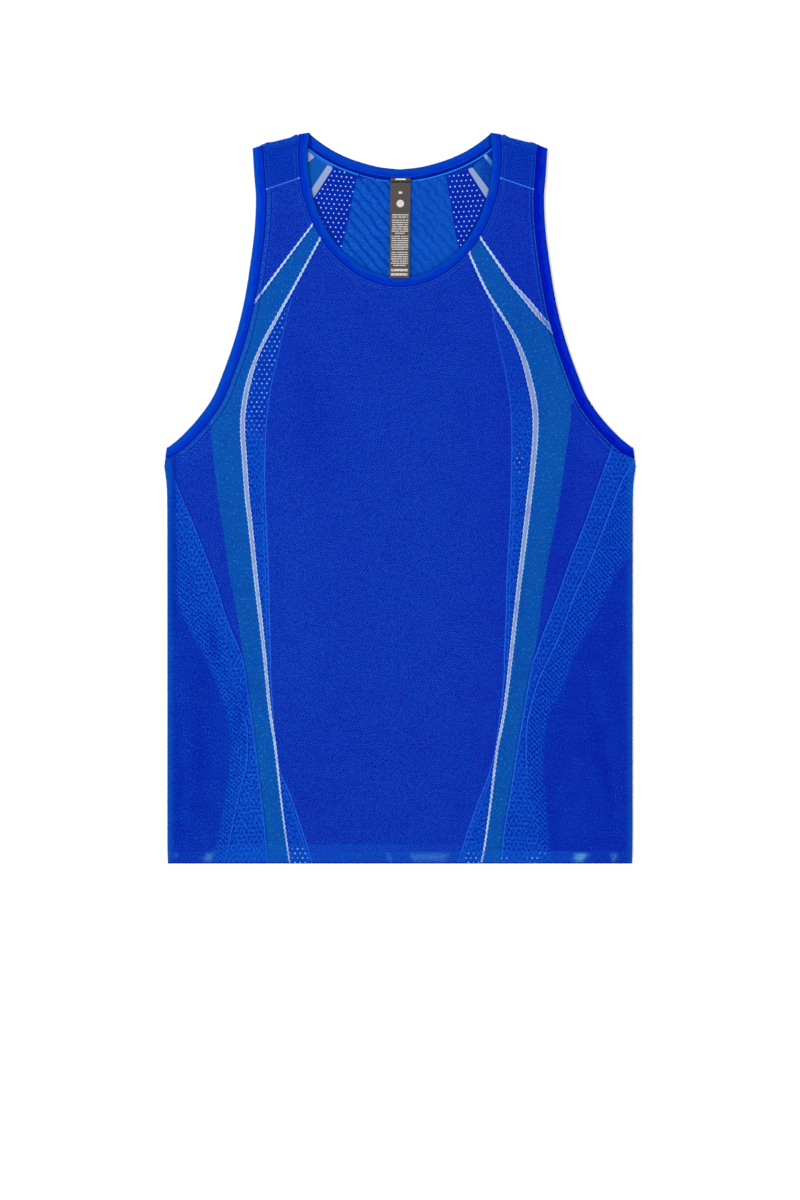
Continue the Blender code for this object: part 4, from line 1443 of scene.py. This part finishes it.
@dataclass
class BackPanel:
    """The back: flat on the surface, up round the sides and over the shoulders as a yoke."""

    cut: Cut
    angles: tuple[float, ...] = (0.0, 25.0, 50.0, 70.0, 88.0)
    fold_steps: int = 7
    patches: tuple[Patch, ...] = (
        Patch(-100, 206, 100, 348, 2.4), Patch(-150, 290, 150, 410, 4),
        Patch(-240, -360, 240, 420, 13))
    zone: Outline = (
        (-43, 320), (-47, 302), (-51, 281), (-54.8, 266), (-58.4, 250), (-70, 200), (70, 200),
        (59.5, 248), (55.9, 261), (52.9, 278), (50.8, 294.5), (48.3, 307), (46, 322), (0, 318))
    pale: tuple[Outline, ...] = (
        ((-72.4, 333.2), (-66.8, 330.2), (-89, 296), (-92.5, 303)),
        ((-98, 352), (-85.2, 341), (-96, 332)),
        ((67.7, 328.7), (72.4, 330.8), (93, 303), (88, 297)),
        ((83, 342.5), (86, 344.5), (96, 332), (93, 330)))
    teal: tuple[Outline, ...] = (
        ((-84.9, 340.8), (-72.6, 334), (-93, 303), (-100, 325)),
        ((73, 331.6), (84, 341), (99, 325), (93, 303.5)))
    rows: tuple[EyeletRows, ...] = (
        EyeletRows(Side.LEFT, Spot(-65.3, 326.7), -3.02, 4.88, 0.037, 4.4, 0.006, -0.1, 0.003),
        EyeletRows(Side.RIGHT, Spot(49.3, 321.9), 2.78, 4.58, 0.065, 5.27, -0.034, 0.065, 0))
    eyelet_radius: float = 0.6
    mesh_out: float = 97.0
    mesh_low: float = 206.0
    mesh_corner: Spot = Spot(86, 322)
    mesh_top: Spot = Spot(55, 324)
    mesh_top_slope: float = 0.065
    from_centre: float = 0.9
    from_band: float = 1.6
    from_neck: float = 4.0
    fold_step: float = 1.6
    fold_from: Spot = Spot(95, 250)         # past here, the cloth is a strap
    thin_from: Spot = Spot(99, 203)         # within here, it lies lower, under the label
    floor_gap: float = 0.04
    bands_top: float = 356.0
    swells: tuple[Swell, ...] = (Swell(101.6, 1.4, 111, 8, 1.7),
                                 Swell(128, 4, 136, 2, 0.8))
    ridge_pitch: float = 8.49
    ridge_height: float = 0.3
    ridge_heading: float = -50.0

    def eyelets(self) -> Array:
        """Centres of the mesh's eyelets."""
        points = np.vstack([rows.centres() for rows in self.rows])
        far = np.abs(points[:, 0])
        clear = (far < self.mesh_out) & (points[:, 1] > self.mesh_low)
        clear &= (far < self.mesh_corner.x) | (points[:, 1] < self.mesh_corner.y)
        top = self.mesh_top.y + self.mesh_top_slope * (far - self.mesh_top.x)
        clear &= (points[:, 0] < 0) | (points[:, 1] < top)
        clear &= depth(points, self.zone) < -self.from_centre
        for shape in self.pale + self.teal:
            clear &= depth(points, shape) < -self.from_band
        neck = self.cut.neck_edge(self.cut.neck_back, self.cut.neck_back_width)
        neck = np.vstack([neck, mirrored(neck)[1:]])
        rising = neck[np.argsort(neck[:, 0])]
        clear &= points[:, 1] < np.interp(points[:, 0], rising[:, 0], rising[:, 1])
        clear &= near_line(points, neck)[0] > self.from_neck
        return points[clear]

    def outline(self) -> tuple[Array, list[Array]]:
        """The flat outline, and the lines of its folds."""
        cut = self.cut
        rows = cut.side_rows(cut.back_hem, self.angles)
        arm = cut.arm_edge()
        yoke_arm, _ = split(arm, cut.shoulder_seam)
        yoke_neck, _ = split(cut.neck_edge(cut.neck_front, cut.neck_front_width),
                             cut.shoulder_seam)
        neck = cut.neck_edge(cut.neck_back, cut.neck_back_width)
        start, _, away = axis_of(cut.yoke_fold)
        arcs = [away * (math.pi * cut.turn * step / self.fold_steps)
                for step in range(self.fold_steps + 1)]
        folds = [even_line(np.array([arm[0] + arc, neck[0] + arc]), self.fold_step)
                 for arc in arcs]
        yoke_arm, yoke_neck = [
            edge + away * (math.pi * cut.turn - 2 * ((edge - start) @ away))[:, None]
            for edge in (yoke_arm, yoke_neck)]
        seam = even_line(np.array([yoke_arm[-1], yoke_neck[-1]]), cut.step)
        hem = even_line(np.array([(0.0, cut.back_hem), rows[0][0]]), cut.step * 2)
        half = np.vstack([hem, [row[0] for row in rows[1:]], rows[-1][1:],
                          [row[-1] for row in rows[-2::-1]], arm[::-1],
                          [row[0] for row in folds[1:]], yoke_arm[1:], seam[1:-1],
                          yoke_neck[::-1][:-1], [row[-1] for row in folds[:0:-1]], neck])
        lines = rows[:-1] + folds
        lines += [mirrored(line) for line in lines]
        return np.vstack([half, mirrored(half)[1:-1]]), lines

    def ridges(self, flat: Array) -> Array:
        """The broken diagonal ridges at the centre, 0 in the furrows and 1 on the crests."""
        heading = math.radians(self.ridge_heading)
        along = flat @ np.array([math.cos(heading), math.sin(heading)])
        across = flat @ np.array([-math.sin(heading), math.cos(heading)])
        number = np.round(across / self.ridge_pitch)
        gap = np.abs(across / self.ridge_pitch - number) * 2
        broken = 0.72 + 0.28 * np.sin(along / 5.3 + number * 2.4)
        fade = eased(depth(flat, self.zone) / 5.0)
        return (1 - gap ** 1.5) * broken * fade

    def place(self) -> Place:
        """How the flat cloth lies: down, round the sides and over the shoulder folds."""
        cut = self.cut
        start, _, away = axis_of(cut.yoke_fold)

        def lay(flat: Array, lift: float) -> Array:
            """The places of flat points at a height below the cloth's middle."""
            x, y = np.abs(flat[:, 0]), flat[:, 1]
            past = np.maximum((np.column_stack([x, y]) - start) @ away, 0)
            past = np.where((x > self.fold_from.x) & (y > self.fold_from.y), past, 0.0)
            turn = np.minimum(past / cut.turn, math.pi)
            swollen = sum(swell.at(x) for swell in self.swells)
            reach = ((cut.turn + lift + swollen) * np.sin(turn)
                     - np.maximum(past - math.pi * cut.turn, 0) - past)
            out, up = x + away[0] * reach, y + away[1] * reach
            height = cut.back_mid + cut.turn - (cut.turn + lift) * np.cos(turn)
            if lift < 0:
                height += self.ridges(flat) * self.ridge_height
            thin = eased((self.thin_from.x - x) / 3.0) * eased((y - self.thin_from.y) / 3.0)
            height -= (height - self.floor_gap) * 0.5 * thin * (past <= 0)
            fold_x = cut.side_x(y)
            at_side = (x > fold_x) & (y < cut.side_top)
            curl = np.clip((x - fold_x) / cut.turn, 0, math.pi / 2)
            out = np.where(at_side, fold_x + (cut.turn + lift) * np.sin(curl), out)
            height = np.where(at_side, cut.back_mid + cut.turn - (cut.turn + lift) * np.cos(curl),
                              height)
            return np.column_stack([np.copysign(out, flat[:, 0]), up, height])

        return lay

    def build(self) -> Piece:
        """Makes and dresses the back."""
        cut = self.cut
        outline, lines = self.outline()
        shell = Shell(outline, lines, self.patches, self.eyelets(), self.eyelet_radius)
        piece, flat = shell.build("back_knit_shell", self.place(), cut.cloth)
        inner = np.arange(len(flat)) >= len(flat) // 2
        note(piece, "inner_face", inner.astype(float))
        note(piece, "centre", depth(flat, self.zone))
        gaps = gaps_to(flat, shell.eyelets)
        note(piece, "eyelet_rim", 1 - eased((gaps - self.eyelet_radius) / shell.collar))
        for name, shapes in (("pale", self.pale), ("teal", self.teal)):
            gaps = np.max([depth(flat, shape) for shape in shapes], axis=0)
            note(piece, name, np.where(inner & (flat[:, 1] < self.bands_top), gaps, -9.0))
        dress(piece, BackKnit().material(), "back_panel")
        width, length = flat_size(outline)
        area_of(outline) * MM * MM
        return piece


@dataclass
class Binding:
    """A folded strip sewn over a raw edge, as one closed ring."""

    cut: Cut
    name: str
    node: str
    finish: BindingFinish
    fold_steps: int = 8
    in_folds: float = 5.0               # the ring's length within its two folds
    profile: tuple[Pair, ...] = (
        (0.0, 0.0), (0.012, 0.55), (0.06, 0.9), (0.2, 1.0), (0.45, 0.97), (0.7, 0.9),
        (0.88, 0.78), (0.97, 0.5), (1.0, 0.0), (0.97, -0.7), (0.85, -1.0), (0.4, -1.0),
        (0.06, -0.9), (0.012, -0.55))

    def laid(self, free: Array, sewn: Array, height: float, up: float) -> list[Section]:
        """Sections along a flat stretch: free edge, sewn edge and outward direction."""
        out = np.array([0.0, 0.0, up])
        return [(np.array([*a, height]), np.array([*b, height]), out) for a, b in zip(free, sewn)]

    def folded(self, fold: Fold, sign: int) -> list[Section]:
        """Sections round a fold, from the upper layer to the lower one."""
        _, _, away = axis_of(fold)
        middle = (self.cut.binding_low + self.cut.binding_high) / 2
        radius = (self.cut.binding_high - self.cut.binding_low) / 2
        sections = []
        for step in range(1, self.fold_steps):
            turn = math.pi * step / self.fold_steps
            out = np.array([away[0] * sign * math.sin(turn), away[1] * math.sin(turn),
                            math.cos(turn)])
            ends = [np.array([spot.x * sign, spot.y, middle]) + out * radius for spot in fold]
            sections.append((ends[0], ends[1], out))
        return sections

    def length(self, edges: Edges) -> float:
        """The length of a flat stretch along its middle."""
        return float(np.linalg.norm(np.diff(sum(edges) / 2, axis=0), axis=1).sum())

    def ring(self, front: Edges, back: Edges, folds: Sequence[tuple[Fold, int]],
             width: float) -> Piece:
        """Lofts the ring and dresses it.

        Args:
            front, back: the free and the sewn edge of its upper and its lower stretch.
            folds: where they end and where they start, each with the sign of its x.
            width: the strip's flat width; not used.
        Returns:
            The dressed piece.
        """
        cut = self.cut
        sections = self.laid(*front, cut.binding_high, 1) + self.folded(*folds[0])
        sections += self.laid(*back, cut.binding_low, -1)[::-1] + self.folded(*folds[1])[::-1]
        profile = np.array(self.profile)
        half = cut.binding_half
        verts, across = [], []
        for number, (free, sewn, out) in enumerate(sections):
            pucker = 1 + 0.05 * math.sin(number * 1.9) + 0.04 * math.sin(number * 0.83 + 1)
            for share, height in profile:
                verts.append(free + (sewn - free) * share + out * (height * half * pucker))
                across.append(share)
        count, faces = len(profile), []
        for number in range(len(sections)):
            here, there = number * count, (number + 1) % len(sections) * count
            for k in range(count):
                other = (k + 1) % count
                faces.append([here + k, here + other, there + other, there + k])
        piece = link_mesh(self.name, np.array(verts), faces, 60.0)
        note(piece, "across", np.array(across))
        dress(piece, self.finish.material(), self.node)
        length = self.length(front) + self.length(back) + self.in_folds
        return piece


@dataclass
class ArmBinding(Binding):
    """An armhole's ring: front stretch, underarm fold, back stretch, shoulder fold."""

    side: Side = Side.RIGHT

    def edges(self) -> Edges:
        """The free and the sewn edge of the front stretch, from the shoulder down."""
        cut = self.cut
        free = smooth_line(cut.armhole, cut.step)
        sewn = shifted(free, cut.arm_width)
        for line, end in ((free, "outer"), (sewn, "inner")):
            line[0] = getattr(cut.arm_fold, end)
            line[-1] = getattr(cut.underarm_fold, end)
        flip = np.array([self.side.value, 1])
        return free * flip, sewn * flip

    def build(self) -> Piece:
        """Makes and dresses the ring."""
        edges, sign = self.edges(), self.side.value
        folds = ((self.cut.underarm_fold, sign), (self.cut.arm_fold, sign))
        return self.ring(edges, edges, folds, self.cut.arm_width)


@dataclass
class NeckBinding(Binding):
    """The neck's ring: front scoop on top, shoulder folds, back neck below."""

    def edges(self, free_edge: Outline, width: float) -> Edges:
        """The free and the sewn edge of one stretch, from shoulder to shoulder."""
        free = smooth_line(free_edge, self.cut.step)
        sewn = shifted(free, -width)
        sewn[0] = self.cut.neck_fold.inner
        sewn[-1, 0] = 0.0
        return tuple(np.vstack([line, mirrored(line)[1:]]) for line in (free, sewn))

    def build(self) -> Piece:
        """Makes and dresses the ring."""
        cut = self.cut
        front = self.edges(cut.neck_front, cut.neck_front_width)
        back = self.edges(cut.neck_back, cut.neck_back_width)
        lengths = np.array([self.length(front), self.length(back)])
        widths = np.array([cut.neck_front_width, cut.neck_back_width])
        return self.ring(front, back, ((cut.neck_fold, -1), (cut.neck_fold, 1)),
                         float(lengths @ widths / lengths.sum()))


@dataclass
class CareLabel:
    """A long woven strip from under the back neck binding to on top of the front one."""

    width: float = 20.0
    thickness: float = 0.6
    top: Spot = Spot(0.6, 319.8)
    end: Spot = Spot(-0.7, 219.8)
    rungs: tuple[Pair, ...] = (
        (320.4, 1.75), (316, 1.72), (290, 1.7), (262, 1.7), (241, 1.7), (234, 1.85), (229, 2.5),
        (225, 3.2), (222.5, 3.45), (219.8, 3.45))
    columns: int = 12
    row_step: float = 1.53
    length: float = 101.2               # along the strip, up and over the front binding
    bow: float = 0.12                   # how far its middle rises and sinks against its sides
    bows: float = 9.0                   # turns of that wave down the strip, in radians
    lift: float = 0.15

    def build(self) -> Piece:
        """Makes and dresses the strip."""
        ys = np.arange(self.top.y, self.end.y - 0.1, -self.row_step)
        ys = np.append(ys, self.end.y)
        places, bottoms = np.array(self.rungs).T
        low = np.interp(-ys, -places, bottoms)
        verts, down, middle = [], [], []
        for y, bottom in zip(ys, low):
            share = (self.top.y - y) / (self.top.y - self.end.y)
            centre = self.top.x + (self.end.x - self.top.x) * share
            for layer in (1, -1):
                for column in range(self.columns + 1):
                    aside = column / self.columns * 2 - 1
                    curl = self.bow * (1 - aside ** 2) * math.sin(share * self.bows) + self.lift
                    verts.append((centre + aside * self.width / 2, y,
                                  bottom + curl + (self.thickness if layer > 0 else 0.0)))
                    down.append(self.top.y - y)
                    middle.append(self.width / 2 * (1 - abs(aside)))
        row = 2 * (self.columns + 1)
        loop = list(range(self.columns + 1)) + list(range(row - 1, self.columns, -1))
        starts = range(0, len(verts), row)
        faces = [[base + a, base + b, base + row + b, base + row + a]
                 for base in starts[:-1] for a, b in zip(loop, loop[1:] + loop[:1])]
        faces += [[base + k, base + k + 1, base + k + self.columns + 2, base + k + self.columns + 1]
                  for base in (starts[0], starts[-1]) for k in range(self.columns)]
        piece = link_mesh("care_label_strip", np.array(verts), faces)
        note(piece, "down", np.array(down))
        note(piece, "middle", np.array(middle))
        dress(piece, LabelFinish().material(), "care_label")
        return piece


@dataclass(frozen=True)
class StitchRow:
    """Rows of short stitches lying on the cloth."""

    pitch: float = 2.9
    length: float = 2.4
    width: float = 0.62
    height: float = 0.5
    sides: int = 6
    girths: tuple[Pair, ...] = ((-0.36, 0.75), (0.0, 1.0), (0.36, 0.75))

    def build(self, line: Array, normals: Array) -> tuple[Array, list]:
        """One row along a line in space.

        Args:
            line: rows of x, y, z.
            normals: the surface's outward direction at each of them.
        Returns:
            The stitches' vertices and faces.
        """
        sizes = np.linalg.norm(np.diff(line, axis=0), axis=1)
        lengths = np.concatenate([[0.0], np.cumsum(sizes)])
        goals = np.arange(self.pitch / 2, lengths[-1], self.pitch)
        middles, ups, ahead = [np.column_stack([np.interp(goals + shift, lengths, column)
                                                for column in source.T])
                               for source, shift in ((line, 0.0), (normals, 0.0), (line, 0.5))]
        verts, faces = [], []
        for middle, up, nose in zip(middles, ups, ahead):
            along = nose - middle
            along /= max(np.linalg.norm(along), 1e-9)
            faces += self.stitch_faces(len(verts))
            verts += self.stitch(middle, along, up / np.linalg.norm(up))
        return np.array(verts), faces

    def stitch(self, middle: Array, along: Array, up: Array) -> list[Array]:
        """The vertices of one stitch: its end, its rings and its other end."""
        aside = np.cross(along, up)
        half = along * self.length / 2
        rings = [middle + along * self.length * place
                 + aside * math.cos(turn) * self.width / 2 * girth
                 + up * math.sin(turn) * self.height / 2 * girth
                 for place, girth in self.girths
                 for turn in np.arange(self.sides) * 2 * np.pi / self.sides]
        return [middle - half, *rings, middle + half]

    def stitch_faces(self, first: int) -> list[list[int]]:
        """The faces of the stitch whose vertices start at this number."""
        sides, faces = self.sides, []
        tail = first + 1 + (len(self.girths) - 1) * sides
        for k in range(sides):
            other = (k + 1) % sides
            faces.append([first, first + 1 + other, first + 1 + k])
            for base in range(first + 1, tail, sides):
                faces.append([base + k, base + other, base + sides + other, base + sides + k])
            faces.append([tail + k, tail + other, tail + sides])
        return faces


class Stretch(NamedTuple):
    """Stitches beside the back neck's binding, between two places across the garment."""

    low: float
    high: float
    gap: float
    height: float
    style: StitchRow


THIN = StitchRow(pitch=2.2, length=2.3, width=0.4, height=0.3)
ROPE = StitchRow(pitch=2.4, length=2.8, width=1.8, height=0.5)
SOLID = StitchRow(pitch=2.0, length=3.2, width=1.6, height=0.5)
FINE = StitchRow(pitch=2.1, length=2.2, width=1.2, height=0.4)
FAINT = StitchRow(pitch=3.4, length=1.7, width=0.45, height=0.35)
SEAM = StitchRow(pitch=2.1, length=2.0, width=1.05, height=0.5)
KNOT = StitchRow(pitch=1.3, length=1.5, width=1.9, height=0.6)


@dataclass
class Sewing:
    """Every row of stitches: coverstitch beside the bindings, shoulder seams, back neck."""

    cut: Cut
    front: FrontPanel
    cover_rows: tuple[tuple[StitchRow, float], ...] = ((THIN, 0.7), (StitchRow(), 4.0))
    bright: tuple[Stretch, ...] = (
        Stretch(-100, -40, 0.9, 0.62, ROPE), Stretch(-24, -10.5, 1.2, 0.62, FINE),
        Stretch(10.5, 18, 1, 0.62, FINE), Stretch(16, 100, 1, 0.62, SOLID))
    dim: tuple[Stretch, ...] = (
        Stretch(-100, -66, 2.6, 0.55, FINE), Stretch(-41, -24, 0.9, 0.62, FINE),
        Stretch(30, 80, 4.4, 0.5, FAINT))
    neck_top: float = 352.0
    back_neck_top: float = 351.0
    arm_top: float = 344.0
    arm_out: float = 229.0
    above: float = 0.08                 # a stitch's middle above the front
    seam_above: float = 0.05
    seam_past: float = 1.0              # how far a shoulder seam's stitches pass its ends

    def on_front(self, line: Array) -> tuple[Array, Array]:
        """A flat line laid on the front's upper face."""
        outline, _ = self.front.outline()
        return self.level(self.front.place(outline)(line, self.cut.cloth / 2 + self.above))

    def level(self, spots: Array) -> tuple[Array, Array]:
        """A line whose stitches face up."""
        return spots, np.tile([0.0, 0.0, 1.0], (len(spots), 1))

    def join(self, name: str, rows: Sequence[tuple[StitchRow, Array, Array]],
             finish: ThreadFinish) -> Piece:
        """Joins rows of stitches to one dressed piece."""
        verts, faces, count = [], [], 0
        for row, line, normals in rows:
            points, made = row.build(line, normals)
            faces += [[number + count for number in face] for face in made]
            verts.append(points)
            count += len(points)
        piece = link_mesh(name, np.vstack(verts), faces, 75.0)
        return dress(piece, finish.material())

    def beside(self, edges: Edges, gap: float) -> Array:
        """A line beside a binding's sewn edge, on the body."""
        free, sewn = edges
        away = (sewn - free) / np.linalg.norm(sewn - free, axis=1)[:, None]
        return even_line(sewn + away * gap, LINE_STEP)

    def coverstitch(self, neck: NeckBinding, arms: Sequence[ArmBinding]) -> None:
        """Two rows on the front beside each binding."""
        cut = self.cut
        blue = ThreadFinish("blue_thread", tint(30, 92, 222))
        rings = [("neck_coverstitch", neck.edges(cut.neck_front, cut.neck_front_width),
                  self.neck_top)]
        rings += [(f"arm_coverstitch_{arm.side.name.lower()}", arm.edges(), self.arm_top)
                  for arm in arms]
        for name, edges, top in rings:
            rows = []
            for style, gap in self.cover_rows:
                line = self.beside(edges, gap)
                line = line[(line[:, 1] < top) & (np.abs(line[:, 0]) < self.arm_out)]
                rows.append((style, *self.on_front(line)))
            self.join(name, rows, blue)

    def back_neck(self, neck: NeckBinding) -> None:
        """The uneven bright and dim stitches inside the back neck."""
        edges = neck.edges(self.cut.neck_back, self.cut.neck_back_width)
        for name, thread, stretches in (
                ("back_neck_stitches", ThreadFinish("bright_blue_thread", tint(30, 134, 238)),
                 self.bright),
                ("back_neck_dim_stitches", ThreadFinish("dim_blue_thread", tint(56, 112, 246)),
                 self.dim)):
            rows = []
            for stretch in stretches:
                line = self.beside(edges, stretch.gap)
                line = line[(line[:, 1] < self.back_neck_top) & (line[:, 0] > stretch.low)
                            & (line[:, 0] < stretch.high)]
                spots = np.column_stack([line, np.full(len(line), stretch.height)])
                rows.append((stretch.style, *self.level(spots)))
            self.join(name, rows, thread)

    def shoulder_seams(self) -> None:
        """One row on each forward shoulder seam, with a knot at both its ends."""
        cut, rows = self.cut, []
        for side in Side:
            ends = np.array(cut.shoulder_seam, float) * [side.value, 1]
            past = (ends[1] - ends[0]) / np.linalg.norm(ends[1] - ends[0]) * self.seam_past
            line = even_line(np.array([ends[0] - past, ends[1] + past]), LINE_STEP)
            height = cut.front_mid + cut.cloth / 2 + self.seam_above
            spots, up = self.level(np.column_stack([line, np.full(len(line), height)]))
            rows += [(SEAM, spots, up), (KNOT, spots[:3], up[:3]), (KNOT, spots[-3:], up[-3:])]
        self.join("shoulder_seam_stitches", rows, ThreadFinish("seam_thread", tint(66, 146, 250)))

    def build(self, neck: NeckBinding, arms: Sequence[ArmBinding]) -> None:
        """Makes and dresses all sewing."""
        self.coverstitch(neck, arms)
        self.back_neck(neck)
        self.shoulder_seams()


@dataclass
class Studio:
    """Pale floor, soft even light and a camera that looks straight down."""

    frame_height: float = 1.2           # of the view; this class is in metres
    centre: Pair = (0.0, -0.102)
    distance: float = 6.0
    sensor: float = 36.0
    sky: float = 1.12
    key_power: float = 38.0
    key_size: float = 1.6
    key_place: tuple[float, float, float] = (-1.7, 1.3, 1.9)
    floor_half: float = 40.0

    def build(self) -> None:
        """Makes the floor, the light, the world and the camera."""
        size = self.floor_half
        floor = link_mesh("floor", np.array([(-size, -size, 0), (size, -size, 0), (size, size, 0),
                                             (-size, size, 0)]) / MM, [[0, 1, 2, 3]])
        floor.data.materials.append(FloorFinish().material())
        world = bpy.data.worlds.new("studio")
        world.use_nodes = True
        sky = world.node_tree.nodes["Background"].inputs
        sky["Color"].default_value = (1, 1, 1, 1)
        sky["Strength"].default_value = self.sky
        scene = bpy.context.scene
        scene.world = world
        scene.view_settings.view_transform = "Standard"
        scene.view_settings.look = "None"
        light = bpy.data.lights.new("key", "AREA")
        light.shape = "DISK"
        light.size = self.key_size
        light.energy = self.key_power
        key = bpy.data.objects.new("key", light)
        scene.collection.objects.link(key)
        key.location = self.key_place
        key.rotation_euler = (-key.location).to_track_quat("-Z", "Y").to_euler()
        camera = bpy.data.objects.new("camera", bpy.data.cameras.new("camera"))
        scene.collection.objects.link(camera)
        camera.location = (*self.centre, self.distance)
        camera.data.sensor_width = self.sensor
        camera.data.lens = self.sensor * self.distance / self.frame_height
        camera.data.clip_end = 100.0
        scene.camera = camera


@dataclass
class Singlet:
    """The whole garment."""

    cut: Cut = field(default_factory=Cut)

    def build(self) -> None:
        """Builds every piece in order."""
        cut = self.cut
        front, back = FrontPanel(cut), BackPanel(cut)
        back.build()
        front.build()
        neck = NeckBinding(cut, "neck_binding_ring", "neck_band",
                           BindingFinish("neck_binding", tint(2, 48, 191), tint(3, 65, 188),
                                         tint(0, 26, 138)))
        arms = [
            ArmBinding(cut, "arm_binding_left_ring", "arm_band_left",
                       BindingFinish("arm_binding_left", tint(5, 50, 196), tint(3, 70, 194),
                                     tint(0, 26, 128)), side=Side.LEFT),
            ArmBinding(cut, "arm_binding_right_ring", "arm_band_right",
                       BindingFinish("arm_binding_right", tint(4, 20, 184), tint(5, 42, 190),
                                     tint(0, 10, 120)), side=Side.RIGHT)]
        neck.build()
        for arm in arms:
            arm.build()
        CareLabel().build()
        Sewing(cut, front).build(neck, arms)


def main() -> None:
    """Builds the garment and its studio."""
    logging.basicConfig(level=logging.INFO, format="%(message)s")
    Studio().build()
    Singlet().build()


if __name__ == "__main__":
    main()
